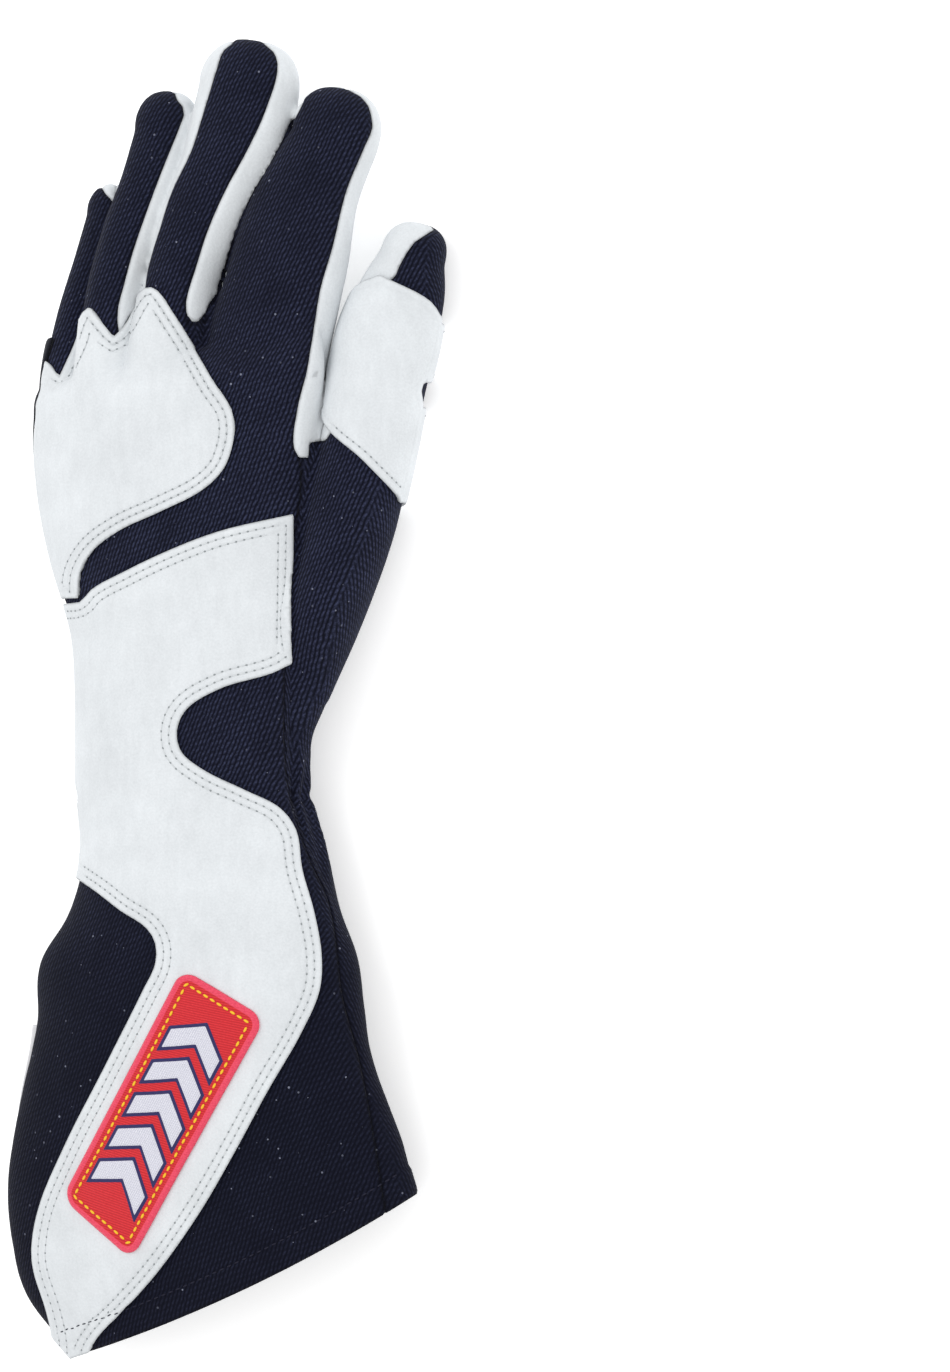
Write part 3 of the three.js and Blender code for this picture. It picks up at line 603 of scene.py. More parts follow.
def split(bm, labels, fields):
    """Cuts a mesh where neighbouring vertices have different labels. A field is positive inside its label."""
    bm.verts.ensure_lookup_table()
    label = bm.verts.layers.int.new("label")
    for vert, value in zip(bm.verts, labels):
        vert[label] = int(value)
    crossing = [e for e in bm.edges if e.verts[0][label] != e.verts[1][label]]
    cuts = []
    for edge in crossing:
        a, b = edge.verts
        i, j = a.index, b.index
        la, lb = a[label], b[label]
        at_a = fields[la][i] - fields[lb][i]
        at_b = fields[la][j] - fields[lb][j]
        share = at_a / (at_a - at_b) if at_a != at_b else 0.5
        cuts.append((edge, a, min(max(share, 0.04), 0.96)))
    border = []
    for edge, a, share in cuts:
        _, vert = bmesh.utils.edge_split(edge, a, share)
        vert[label] = -1
        border.append(vert)
    bmesh.ops.connect_verts(bm, verts=border)
    return label


def face_label(face, label):
    values = [v[label] for v in face.verts if v[label] >= 0]
    return max(set(values), key=values.count) if values else -1


# The cloth's own shape

HEM_LEFT, HEM_RIGHT = (22, 0.5), (127.5, 51)
HEM_BULGE = 4.0
HEM_SLANT = math.atan2(HEM_RIGHT[1] - HEM_LEFT[1], HEM_RIGHT[0] - HEM_LEFT[0])
HEM_SLANT_SIN, HEM_SLANT_COS = math.sin(HEM_SLANT), math.cos(HEM_SLANT)


def hem_bulge(share):
    """How far the hem's edge bulges down, along the way from its left end to its right."""
    return np.clip(4 * share * (1 - share), -1, 1) * HEM_BULGE


def hem_field(skin):
    """Distance above the hem."""
    share = (skin.u - HEM_LEFT[0]) / (HEM_RIGHT[0] - HEM_LEFT[0])
    line = HEM_LEFT[1] + (HEM_RIGHT[1] - HEM_LEFT[1]) * share
    return (skin.v - line + hem_bulge(share)) * HEM_SLANT_COS


def shaped(mesh):
    """Draws pleats, folds and seams into the form, and returns how far it is outside each tube."""
    co, no = arrays(mesh)
    found = {name: tube.locate(co) for name, tube in TUBES.items()}
    off = np.stack([found[name][2] for name in TUBES])
    index, angle, _ = found["body"]
    around = TUBES["body"].cloth(index, angle)
    skin = Skin(co, no)
    rise = np.zeros(len(co))
    on_body = step(-off[0], -4, 0)
    v = skin.v

    # pleats that the elastic draws in, round the palm and the thumb side
    under = step(np.sin(angle), 0.45, 0.05)
    phase = noise_at(np.stack([around, v * 0.25, v * 0], 1), 14, 3)
    pleat = np.sin(2 * math.pi * (around / 6.5) + 2.2 * phase)
    away = v - 172
    reach = np.exp(-((away / np.where(away < 0, 17, 13)) ** 2))
    rise += on_body * under * reach * (1.0 * pleat - 0.35)
    rise -= on_body * under * 0.9 * np.exp(-((away / 2.2) ** 2))

    # the side panel falls away under the back's thumb-side edge
    beyond = -skin.seen(rounded(BACK_BODY))
    fall = step(v, 120, 165) * step(v, 275, 235)
    rise -= 1.8 * fall * step(beyond, 0, 2) * np.exp(-((np.maximum(beyond, 0) / 9) ** 2)) * (no @ SIGHT > 0)

    # soft unevenness of lying cloth
    long = noise_at(co * np.array([1, 0.45, 1]), 24, 1)
    small = noise_at(co, 9, 2)
    loose = 0.35 + 0.65 * step(v, 150, 60)
    rise += (0.75 * long + 0.18 * small) * loose

    rise += PUFF

    # the hem is folded over
    rise += 0.45 * step(hem_field(skin), HEM_ROW + 0.7, HEM_ROW - 0.4)

    co = co + no * rise[:, None]
    co[:, 2] = np.maximum(co[:, 2], floor_at(co[:, 1]) + UNDERSIDE)
    mesh.vertices.foreach_set("co", co.ravel())
    mesh.update()
    return off


def panels(skin, off):
    """Fields of the cloth and leather panels: each is positive inside its own panel."""
    z = skin.co[:, 2]
    up = skin.no[:, 2]
    finger = {name: off[1 + i] for i, name in enumerate(DIGITS)}
    everything = list(finger.values()) + [off[0]]
    upper = z > 4

    def own(name):
        others = [finger[each] for each in DIGITS if each != name]
        return np.minimum.reduce(others) - finger[name]

    backs = np.full(len(z), -99.0)
    for name in FINGERS:
        heights = [(row[0], row[3]) for row in DIGITS[name][0]]
        shape = skin.seen(rounded(BACK_OF[name]), upper)
        over = 2.0 if name == "index" else 0.3
        backs = np.maximum(backs, np.minimum.reduce([shape, skin.above(heights, BACK_DROP), own(name) + over]))

    strips = []
    for little, big in zip(FINGERS, FINGERS[1:]):
        web_u, web_v = DIGITS[little][2]
        web = web_v + np.minimum(WEB_CURVE * (skin.u - web_u) ** 2, WEB_DEPTH)
        others = [finger[each] for each in DIGITS if each not in (little, big)]
        between = np.minimum.reduce(others) - np.minimum(finger[little], finger[big])
        sides = []
        for name, side in ((little, 1), (big, -1)):
            rows, tip, _ = DIGITS[name]
            line_v = [row[0] for row in rows] + [tip[1]]
            line_u = [(row[1] + row[2]) / 2 for row in rows] + [tip[0]]
            half = side * (skin.u - np.interp(skin.v, line_v, line_u))
            length = np.minimum(skin.v - web, tip[1] + 5 - skin.v)
            heights = [(row[0], row[3] - 0.7 * rows[-3][4]) for row in rows]
            sides.append(np.minimum.reduce([half, length, skin.above(heights), between]))
        made = np.where(finger[little] < finger[big], *sides)
        strips.append(np.minimum(made, -backs))

    body_back = np.minimum(skin.seen(rounded(BACK_BODY), upper), skin.above(BODY_HEIGHTS, 1.5))
    strip_any = np.maximum.reduce(strips)
    back = np.maximum(backs, np.minimum(body_back, -strip_any))

    panel_plan = skin.plan(rounded(THUMB_PANEL_PLAN))
    beyond = skin.seen(rounded(BACK_BODY[1:12] + [(94, 278), (400, 278), (400, -60)]), upper)
    front = skin.plan(rounded(THUMB_FRONT))
    top = np.minimum.reduce([beyond, skin.above(BODY_HEIGHTS, 1.5), -front])
    thumb_heights = [(row[0], row[3]) for row in DIGITS["thumb"][0]]
    wrap = np.minimum(skin.seen(THUMB_WRAP), skin.above(thumb_heights, 3))
    knit_side = np.minimum(np.maximum(panel_plan, top), -wrap)
    others = [off[0]] + [finger[each] for each in FINGERS]
    on_thumb = np.minimum.reduce(others) - finger["thumb"]
    below = np.minimum.reduce([front, CROTCH_V - skin.v, -skin.above(BODY_HEIGHTS, 2), -on_thumb])
    inner = np.minimum(np.maximum(front, wrap), on_thumb)
    palm = np.maximum(skin.plan(PALM_LEATHER), wrap)
    rest = -np.maximum(back, strip_any)
    leather = np.minimum(rest, -knit_side)
    sewn = np.maximum(below, inner)
    return {
        "back": back,
        "fourchette_little_ring": strips[0],
        "fourchette_ring_middle": strips[1],
        "fourchette_middle_index": strips[2],
        "thumb_panel": np.minimum(rest, knit_side),
        "thumb_front": np.minimum(leather, below),
        "thumb_inner": np.minimum(leather, inner),
        "palm": np.minimum.reduce([leather, palm, -sewn]),
        "gauntlet_palm": np.minimum.reduce([leather, -palm, -sewn]),
    }


def patches(skin):
    """Fields of the patches sewn on top."""
    z = skin.co[:, 2]
    upper = z > 8
    top = skin.above(BODY_HEIGHTS, 0.5)
    heights = [(row[0], row[3]) for row in DIGITS["thumb"][0]]
    guard = np.minimum(skin.seen(rounded(THUMB_GUARD)), skin.above(heights, 1))
    tabs = np.minimum(skin.plan(rounded(THUMB_TABS)), -skin.above(heights, -1))
    return {
        "knuckle_patch": np.minimum(skin.seen(rounded(KNUCKLE_PATCH), upper), top),
        "forearm_patch": np.minimum(skin.seen(rounded(FOREARM_PATCH), upper), top),
        "thumb_guard": np.maximum(guard, tabs),
        "grip_patch": np.minimum(skin.plan(rounded(GRIP_PATCH), z < 24), -top),
    }


def working_mesh(form, values):
    """A bmesh of the form that carries normals, cloth coordinates and edge distances through cuts."""
    bm = bmesh.new()
    bm.from_mesh(form.data)
    normal = bm.verts.layers.float_vector.new("outward")
    lie = bm.verts.layers.float_vector.new("cloth")
    edge = bm.verts.layers.float.new("edge")
    _, no = arrays(form.data)
    for vert, n, value in zip(bm.verts, no, values):
        vert[normal] = n
        vert[lie] = vert.co
        vert[edge] = value
    return bm


def piece_of(bm, keep):
    """The faces with one label, as a bmesh of their own."""
    made = bm.copy()
    layer = made.verts.layers.int["label"]
    gone = [face for face in made.faces if face_label(face, layer) != keep]
    bmesh.ops.delete(made, geom=gone, context="FACES")
    return made


def keep_largest(bm):
    """Drops loose crumbs that a cut left."""
    left, groups = set(bm.verts), []
    while left:
        seed = left.pop()
        group, edge = {seed}, [seed]
        while edge:
            vert = edge.pop()
            for link in vert.link_edges:
                other = link.other_vert(vert)
                if other in left:
                    left.discard(other)
                    group.add(other)
                    edge.append(other)
        groups.append(group)
    groups.sort(key=len)
    for group in groups[:-1]:
        if len(group) < CRUMB:
            bmesh.ops.delete(bm, geom=list(group), context="VERTS")
    return bm


def border_to_zero(bm, label):
    edge = bm.verts.layers.float["edge"]
    for vert in bm.verts:
        if vert[label] < 0:
            vert[edge] = 0


def raise_along(bm, height):
    """Moves each vertex along its normal by a height that depends on its distance to the edge."""
    normal = bm.verts.layers.float_vector["outward"]
    edge = bm.verts.layers.float["edge"]
    for vert in bm.verts:
        vert.co += vert[normal] * height(max(vert[edge], 0))


def to_frame(made):
    """Moves a finished piece from the sections' millimetres into the frame's metres."""
    shift = Matrix.Translation((-MIDDLE[0], -MIDDLE[1], 0))
    made.data.transform(Matrix.Scale(0.001, 4) @ shift)
    return made


def finish(made, nodes, material):
    made.data.materials.clear()
    made.data.materials.append(material)
    made.data.shade_smooth()
    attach(made, "root")
    if nodes:
        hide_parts(*nodes)
    return made


def thicken(made, millimetres):
    solid = made.modifiers.new("thick", "SOLIDIFY")
    solid.thickness = millimetres * 0.001
    solid.offset = -1


# Materials. Distances in them are millimetres, from the cloth and edge attributes.


def node(tree, kind, inputs=None, **settings):
    made = tree.nodes.new("ShaderNode" + kind)
    for key, value in settings.items():
        setattr(made, key, value)
    for key, value in (inputs or {}).items():
        if isinstance(value, bpy.types.NodeSocket):
            tree.links.new(value, made.inputs[key])
        else:
            made.inputs[key].default_value = value
    return made


def calc(tree, operation, *values):
    return node(tree, "Math", dict(enumerate(values)), operation=operation).outputs[0]


def ramp(tree, value, low, high, to_low=0.0, to_high=1.0):
    inputs = {"Value": value, "From Min": low, "From Max": high, "To Min": to_low, "To Max": to_high}
    made = node(tree, "MapRange", inputs, interpolation_type="SMOOTHSTEP")
    return made.outputs["Result"]


def mixed(tree, share, one, two):
    """A colour between two. A colour given as numbers is linear."""
    made = node(tree, "Mix", {0: share}, data_type="RGBA")
    for index, value in ((6, one), (7, two)):
        if isinstance(value, bpy.types.NodeSocket):
            tree.links.new(value, made.inputs[index])
        else:
            made.inputs[index].default_value = (*value, 1)
    return made.outputs[2]


def cloth_noise(tree, place, size, detail=2.0, stretch=(1, 1, 1)):
    """Noise from 0 to 1 whose features are about `size` across on the cloth."""
    scaled = node(tree, "VectorMath", {0: place, 1: stretch}, operation="MULTIPLY").outputs[0]
    made = node(tree, "TexNoise", {"Vector": scaled, "Scale": 1 / size, "Detail": detail})
    return made.outputs["Fac"]


def effect(name, sockets, build):
    """A node group for the materials to share: sockets in, Color and Height out."""
    tree = bpy.data.node_groups.new(name, "ShaderNodeTree")
    for label, kind in sockets:
        tree.interface.new_socket(label, in_out="INPUT", socket_type="NodeSocket" + kind)
    tree.interface.new_socket("Color", in_out="OUTPUT", socket_type="NodeSocketColor")
    tree.interface.new_socket("Height", in_out="OUTPUT", socket_type="NodeSocketFloat")
    source = tree.nodes.new("NodeGroupInput")
    target = tree.nodes.new("NodeGroupOutput")
    color, height = build(tree, source.outputs)
    tree.links.new(color, target.inputs["Color"])
    tree.links.new(height, target.inputs["Height"])
    return tree


def waves(tree, s, t, degrees, pitch):
    """Ridges from 0 to 1 that run at an angle across the cloth."""
    a = math.radians(degrees)
    turned = calc(tree, "SUBTRACT", calc(tree, "MULTIPLY", t, math.cos(a)), calc(tree, "MULTIPLY", s, math.sin(a)))
    swing = calc(tree, "SINE", calc(tree, "MULTIPLY", turned, 2 * math.pi / pitch))
    return calc(tree, "MULTIPLY_ADD", swing, 0.5, 0.5)


def build_knit(tree, inputs):
    place, edge = inputs["Cloth"], inputs["Edge"]
    parts = node(tree, "SeparateXYZ", {0: place})
    wander = calc(tree, "MULTIPLY", cloth_noise(tree, place, 3.2), KNIT_WANDER)
    t = calc(tree, "ADD", parts.outputs[1], wander)
    weaves = []
    for axis in (0, 2):
        s = calc(tree, "ADD", parts.outputs[axis], wander)
        course = waves(tree, s, t, 20, COURSE_PITCH)
        wale = waves(tree, s, t, 68, WALE_PITCH)
        weaves.append(calc(tree, "MULTIPLY", wale, calc(tree, "MULTIPLY_ADD", course, 0.6, 0.4)))
    outward = node(tree, "SeparateXYZ", {0: inputs["Outward"]})
    side = ramp(tree, calc(tree, "ABSOLUTE", outward.outputs[0]), 0.7, 0.85)
    weave = node(tree, "Mix", {0: side, 2: weaves[0], 3: weaves[1]}).outputs[0]
    grain = cloth_noise(tree, place, 0.5)
    cloud = cloth_noise(tree, place, 11)
    tone = calc(tree, "MULTIPLY", weave, calc(tree, "MULTIPLY_ADD", grain, 2.4, -0.45))
    tone = calc(tree, "MULTIPLY", tone, calc(tree, "MULTIPLY_ADD", cloud, 1.0, 0.5))
    tone = calc(tree, "MULTIPLY", tone, ramp(tree, parts.outputs[1], 95, 215, 0.36, 1.1))
    tone = calc(tree, "MULTIPLY", tone, ramp(tree, parts.outputs[1], 290, 335, 1, 0.8))
    color = mixed(tree, tone, KNIT_DARK, KNIT_LIGHT)
    cells = node(tree, "TexVoronoi", {"Vector": place, "Scale": 1 / LINT_CELL, "Randomness": 1})
    chance = node(tree, "SeparateXYZ", {0: cells.outputs["Color"]})
    radius = ramp(tree, chance.outputs[0], 0.3, 1, 0, LINT_SIZE / LINT_CELL)
    speck = calc(tree, "LESS_THAN", cells.outputs["Distance"], radius)
    speck = calc(tree, "MULTIPLY", speck, calc(tree, "MULTIPLY_ADD", chance.outputs[1], 0.5, 0.12))
    color = mixed(tree, speck, color, LINT)
    # painted shade: the knit darkens towards a panel's edge, into the seam's groove
    color = mixed(tree, ramp(tree, edge, 0, 1.3, 0.6, 0), color, (0.002, 0.002, 0.004))
    height = calc(tree, "MULTIPLY_ADD", grain, 0.5, calc(tree, "ADD", weave, speck))
    return color, height


def build_suede(tree, inputs):
    place, edge, base = inputs["Cloth"], inputs["Edge"], inputs["Base"]
    cloud = cloth_noise(tree, place, 15, 3)
    fine = cloth_noise(tree, place, 0.7, 3)
    nap = cloth_noise(tree, place, 2.6, 2, (1, 0.3, 1))
    tone = calc(tree, "MULTIPLY_ADD", cloud, 0.22, 0.80)
    tone = calc(tree, "MULTIPLY_ADD", fine, 0.22, tone)
    tone = calc(tree, "MULTIPLY_ADD", nap, 0.12, tone)
    dents = None
    for row in ("Row 1", "Row 2"):
        off = calc(tree, "DIVIDE", calc(tree, "SUBTRACT", edge, inputs[row]), 0.6)
        dent = calc(tree, "EXPONENT", calc(tree, "MULTIPLY", calc(tree, "MULTIPLY", off, off), -1))
        dents = dent if dents is None else calc(tree, "ADD", dents, dent)
    # painted shade in the grooves of the stitched rows
    tone = calc(tree, "MULTIPLY_ADD", dents, -0.03, tone)
    # darker towards the edge: partly the raw cut edge's own colour, partly painted shade along the edge and in the
    # seam
    tone = calc(tree, "MULTIPLY", tone, ramp(tree, edge, 0, 0.8, 0.72, 1))
    scaled = node(tree, "VectorMath", {0: base, "Scale": tone}, operation="SCALE").outputs[0]
    height = calc(tree, "MULTIPLY_ADD", fine, 0.7, calc(tree, "MULTIPLY", nap, 0.8))
    height = calc(tree, "MULTIPLY_ADD", cloud, 2.0, height)
    height = calc(tree, "MULTIPLY_ADD", dents, -0.8, height)
    return scaled, height


KNIT_DARK = (0.003, 0.0034, 0.0085)
KNIT_LIGHT = (0.036, 0.042, 0.085)
WALE_PITCH, COURSE_PITCH, KNIT_WANDER = 1.15, 1.7, 1.6
LINT = (0.3, 0.32, 0.42)
LINT_CELL = 3.1
LINT_SIZE = 0.37
KNIT_EFFECT = effect("knit_cloth", [("Cloth", "Vector"), ("Outward", "Vector"), ("Edge", "Float")], build_knit)
SUEDE_SOCKETS = [("Cloth", "Vector"), ("Edge", "Float"), ("Base", "Color"), ("Row 1", "Float"), ("Row 2", "Float")]
SUEDE_EFFECT = effect("suede_leather", SUEDE_SOCKETS, build_suede)


def shader(name, color, roughness, sheen=0.0, specular=0.2):
    material = bpy.data.materials.new(name)
    material.use_nodes = True
    body = material.node_tree.nodes["Principled BSDF"]
    body.inputs["Base Color"].default_value = (*color, 1)
    body.inputs["Roughness"].default_value = roughness
    body.inputs["Sheen Weight"].default_value = sheen
    body.inputs["Specular IOR Level"].default_value = specular
    return material


def bumped(material, color, height, millimetres):
    """Links a colour and a relief, whose height of 1 is as deep as given, to a material."""
    tree = material.node_tree
    body = tree.nodes["Principled BSDF"]
    tree.links.new(color, body.inputs["Base Color"])
    bump = node(tree, "Bump", {"Height": height, "Distance": millimetres * 0.001, "Strength": 1.0})
    tree.links.new(bump.outputs[0], body.inputs["Normal"])
    return material


def with_effect(material, group, millimetres, **values):
    tree = material.node_tree
    made = tree.nodes.new("ShaderNodeGroup")
    made.node_tree = group
    for socket in ("Cloth", "Outward", "Edge"):
        if socket in made.inputs:
            source = node(tree, "Attribute", attribute_name=socket.lower())
            tree.links.new(source.outputs["Fac" if socket == "Edge" else "Vector"], made.inputs[socket])
    for key, value in values.items():
        made.inputs[key.replace("_", " ")].default_value = value
    return bumped(material, made.outputs["Color"], made.outputs["Height"], millimetres)


def suede(name, base, rows=(NO_ROW, NO_ROW), sheen=0.05):
    material = shader(name, base, 0.92, sheen, 0.15)
    return with_effect(material, SUEDE_EFFECT, 0.12, Base=(*base, 1), Row_1=rows[0], Row_2=rows[1])


PALE = (0.615, 0.64, 0.66)
BLACK = (0.012, 0.013, 0.02)
KNIT = with_effect(shader("knit", KNIT_DARK, 0.95, 0.03, 0.08), KNIT_EFFECT, 0.16)
SUEDE = suede("suede", PALE)
SUEDE_PATCH = suede("suede_patch", PALE, PATCH_ROWS)
SUEDE_GUARD = suede("suede_guard", PALE, (GUARD_ROW, NO_ROW))
GRIP = suede("grip_suede", BLACK, (GUARD_ROW, NO_ROW))
THREAD_PALE = shader("thread_pale", (0.6, 0.625, 0.64), 0.8)
THREAD_DARK = shader("thread_dark", (0.015, 0.015, 0.03), 0.8)
# painted shade: grey beads stand for the shade inside the needle holes
HOLE_SHADE = shader("hole_shade", (0.27, 0.29, 0.3), 0.9)
THREAD_YELLOW = shader("thread_yellow", (0.85, 0.5, 0.03), 0.7)
SATIN = shader("satin", (0.84, 0.84, 0.86), 0.35, 0.0, 0.5)


# Stitching


class Seams:
    """Rows of stitches that lie on the form, or a height above it."""

    def __init__(self, mesh):
        bm = bmesh.new()
        bm.from_mesh(mesh)
        self.tree = BVHTree.FromBMesh(bm)
        bm.free()

    def down(self, u, v):
        """Where the line of sight at (u, v) meets the glove from above."""
        start = Vector(u * ACROSS + v * ALONG + 200 * SIGHT)
        return self.tree.ray_cast(start, Vector(-SIGHT))[:2]

    def under(self, u, v):
        start = Vector(u * ACROSS + v * ALONG - 200 * SIGHT)
        return self.tree.ray_cast(start, Vector(SIGHT))[:2]

    def up(self, x, y):
        """Where a plumb line at (x, y) meets the glove from below."""
        return self.tree.ray_cast(Vector((x, y, -50)), Vector((0, 0, 1)))[:2]

    def runs(self, points, cast, height, keep=lambda place: True):
        """The points laid on the glove, in runs that are broken where it has none."""
        found, run = [], []
        for point in points:
            place = normal = None
            if point is not None:
                place, normal = cast(*point)
            if place is None or not keep(place) or (run and (place - run[-1][2]).length > LONGEST_STEP):
                found.append(run)
                run = []
            if place is not None and keep(place):
                run.append((place + normal * height, normal, place))
        found.append(run)
        return [run for run in found if len(run) > 3]


def inset_row(outline, distance):
    """Points a distance inside a closed outline, with None where the outline turns too tightly."""
    p = rounded(outline, 1.2)
    along = np.roll(p, -1, 0) - np.roll(p, 1, 0)
    along /= np.linalg.norm(along, axis=1, keepdims=True)
    ahead = np.roll(p, -1, 0)
    winding = np.sign((p[:, 0] * ahead[:, 1] - ahead[:, 0] * p[:, 1]).sum())
    q = p + np.stack([-along[:, 1], along[:, 0]], 1) * winding * distance
    deep, _ = inside(q, p)
    return [tuple(point) if d > distance - 0.15 else None for point, d in zip(q, deep)]


def stitches(made, hole_shade_marks, run, pitch=2.6, length=1.75, wide=0.44, high=0.17):
    """Adds the places of capsule stitches along a run, and of a needle hole's grey mark of painted shade before each
    one.
    """
    places = np.array([point[0] for point in run])
    normals = np.array([point[1] for point in run])
    reach = np.concatenate([[0], np.cumsum(np.linalg.norm(np.diff(places, axis=0), axis=1))])
    for at in np.arange(0, reach[-1] - pitch, pitch):
        a, b, mid, up = (
            np.array([np.interp(at + shift, reach, line[:, k]) for k in range(3)])
            for shift, line in ((0, places), (length, places), (length / 2, places), (length / 2, normals))
        )
        lead = Vector(b - a).normalized()
        side = Vector(up).cross(lead).normalized()
        top = lead.cross(side)
        turn = Matrix((lead * length / 2, side * wide / 2, top * high)).transposed().to_4x4()
        made.append(Matrix.Translation(Vector(mid)) @ turn)
        # a grey bead before the stitch, painted shade of its needle hole
        if hole_shade_marks is not None:
            turn = Matrix((lead * HOLE_LONG, side * HOLE_WIDE, top * HOLE_RISE)).transposed().to_4x4()
            place = Vector(a) - lead * (pitch - length) / 2 + top * HOLE_RISE / 2
            hole_shade_marks.append(Matrix.Translation(place) @ turn)


def sewn(name, places, around=8, along=5):
    """One mesh of many small beads, of thread or of painted needle-hole shade, each a ball that its own matrix places
    and stretches.
    """
    ball = bmesh.new()
    bmesh.ops.create_uvsphere(ball, u_segments=around, v_segments=along, radius=1)
    points = np.array([(*vert.co, 1) for vert in ball.verts])
    faces = np.array([vert.index for face in ball.faces for vert in face.verts])
    sizes = [len(face.verts) for face in ball.faces]
    ball.free()
    placed = np.einsum("mij,pj->mpi", np.array(places), points)[:, :, :3].reshape(-1, 3)
    ends = np.cumsum(sizes)[:-1]
    many = []
    for k in range(len(places)):
        many.extend(corners.tolist() for corners in np.split(faces + k * len(points), ends))
    mesh = bpy.data.meshes.new(name)
    mesh.from_pydata(placed.tolist(), [], many)
    made = bpy.data.objects.new(name, mesh)
    bpy.context.scene.collection.objects.link(made)
    return made


# Making the pieces

form = base_form()
off = shaped(form.data)
co, no = arrays(form.data)
skin = Skin(co, no)
hem = hem_field(skin)
regions = panels(skin, evened(form.data, off))
tops = patches(skin)

PANEL_OF = {
    "back": (("hand_back", "gauntlet_back"), KNIT, "knit"),
    "fourchette_little_ring": (("fourchette_little_ring",), SUEDE, "suede"),
    "fourchette_ring_middle": (("fourchette_ring_middle",), SUEDE, "suede"),
    "fourchette_middle_index": (("fourchette_middle_index",), SUEDE, "suede"),
    "thumb_panel": (("thumb_panel", "gauntlet_side"), KNIT, "knit"),
    "thumb_front": (("thumb_front",), SUEDE, "suede"),
    "thumb_inner": (("thumb_inner",), SUEDE, "suede"),
    "palm": (("palm",), SUEDE, "suede"),
    "gauntlet_palm": (("gauntlet_palm",), KNIT, "knit"),
}
fields = np.stack([np.minimum(regions[name], hem) for name in PANEL_OF] + [-hem])
fields = without_crumbs(form.data, fields)
base = working_mesh(form, fields.max(0))
label = split(base, fields.argmax(0), fields)
border_to_zero(base, label)
for i, (name, (nodes, material, slot)) in enumerate(PANEL_OF.items()):
    bm = piece_of(base, i)
    raise_along(bm, lambda edge: -SEAM_DEPTH * math.exp(-((edge / SEAM_REACH) ** 2)))
    made = mesh_object("look_" + name, bm)
    thicken(made, PANEL_THICK)
    finish(to_frame(made), nodes, material)
base.free()

PATCH_OF = {
    "knuckle_patch": (SUEDE_PATCH, "suede"),
    "forearm_patch": (SUEDE_PATCH, "suede"),
    "thumb_guard": (SUEDE_GUARD, "suede"),
    "grip_patch": (GRIP, "grip"),
}
for name, (material, slot) in PATCH_OF.items():
    field = np.minimum(tops[name], hem)
    two = np.stack([field, -field])
    bm = working_mesh(form, field)
    label = split(bm, two.argmax(0), two)
    border_to_zero(bm, label)
    bm = keep_largest(piece_of(bm, 0))
    raise_along(bm, lambda edge: PATCH_TOP - 0.35 * math.exp(-edge / 0.5))
    edge = bm.verts.layers.float["edge"]
    if name == "knuckle_patch":
        inner = [vert for vert in bm.verts if vert[edge] > 0.6]
        for _ in range(SMOOTHING):
            bmesh.ops.smooth_vert(bm, verts=inner, factor=0.5, use_axis_x=True, use_axis_y=True, use_axis_z=True)
    for vert in bm.verts:
        vert.co.z = max(vert.co.z, 0.05)
    made = mesh_object("look_" + name, bm)
    thicken(made, PATCH_THICK)
    finish(to_frame(made), (name,), material)

# Stitched rows

seams = Seams(form.data)
pale, dark, hole_shade_marks, yellow = [], [], [], []
body_v, body_z = zip(*BODY_HEIGHTS)
thumb_v, thumb_z = zip(*[(row[0], row[3]) for row in DIGITS["thumb"][0]])


def over_body(place):
    return place.z > np.interp(place.y, body_v, body_z) + 0.8


def over_thumb(place):
    return place.z > np.interp(place.y, thumb_v, thumb_z) + 2


def low_on_guard(place):
    right, high = GUARD_ROW_END
    return over_thumb(place) and place.dot(Vector(ACROSS)) < right and place.y < high


for outline in (KNUCKLE_PATCH, FOREARM_PATCH):
    for inset in PATCH_ROWS:
        for run in seams.runs(inset_row(outline, inset), seams.down, PATCH_TOP, over_body):
            stitches(pale, hole_shade_marks, run)
for run in seams.runs(inset_row(THUMB_GUARD, GUARD_ROW), seams.down, PATCH_TOP, low_on_guard):
    stitches(pale, hole_shade_marks, run, 2.4, 1.7, 0.4)
for run in seams.runs(inset_row(THUMB_TABS, GUARD_ROW), seams.up, PATCH_TOP):
    stitches(pale, hole_shade_marks, run, 2.4, 1.7, 0.4)
for run in seams.runs(inset_row(GRIP_PATCH, GUARD_ROW), seams.up, PATCH_TOP, lambda place: place.z < 15):
    stitches(dark, None, run)


def hem_line(above):
    """Points along the hem a distance above it, on the drawing plane."""
    points = []
    for share in np.linspace(0.01, 0.99, 160):
        u = HEM_LEFT[0] + (HEM_RIGHT[0] - HEM_LEFT[0]) * share
        v = HEM_LEFT[1] + (HEM_RIGHT[1] - HEM_LEFT[1]) * share - hem_bulge(share)
        points.append((u - above * HEM_SLANT_SIN, v + above * HEM_SLANT_COS))
    return points


def on_forearm(place):
    at = np.array([[place.dot(Vector(ACROSS)), place.y]])
    return inside(at, FOREARM_LINE)[0][0] > 0 and over_body(place)


FOREARM_LINE = rounded(FOREARM_PATCH)
hem_points = hem_line(HEM_ROW)
for run in seams.runs(hem_points, seams.down, PATCH_TOP, on_forearm):
    stitches(dark, None, run, 2.7, 1.6, 0.4, 0.2)
for run in seams.runs(hem_points, seams.down, 0.15, lambda place: not on_forearm(place)):
    stitches(dark, None, run, 2.7, 1.8, 0.5, 0.2)
for run in seams.runs(hem_points, seams.under, 0.05):
    stitches(dark, None, run, 2.7, 1.8, 0.5, 0.2)

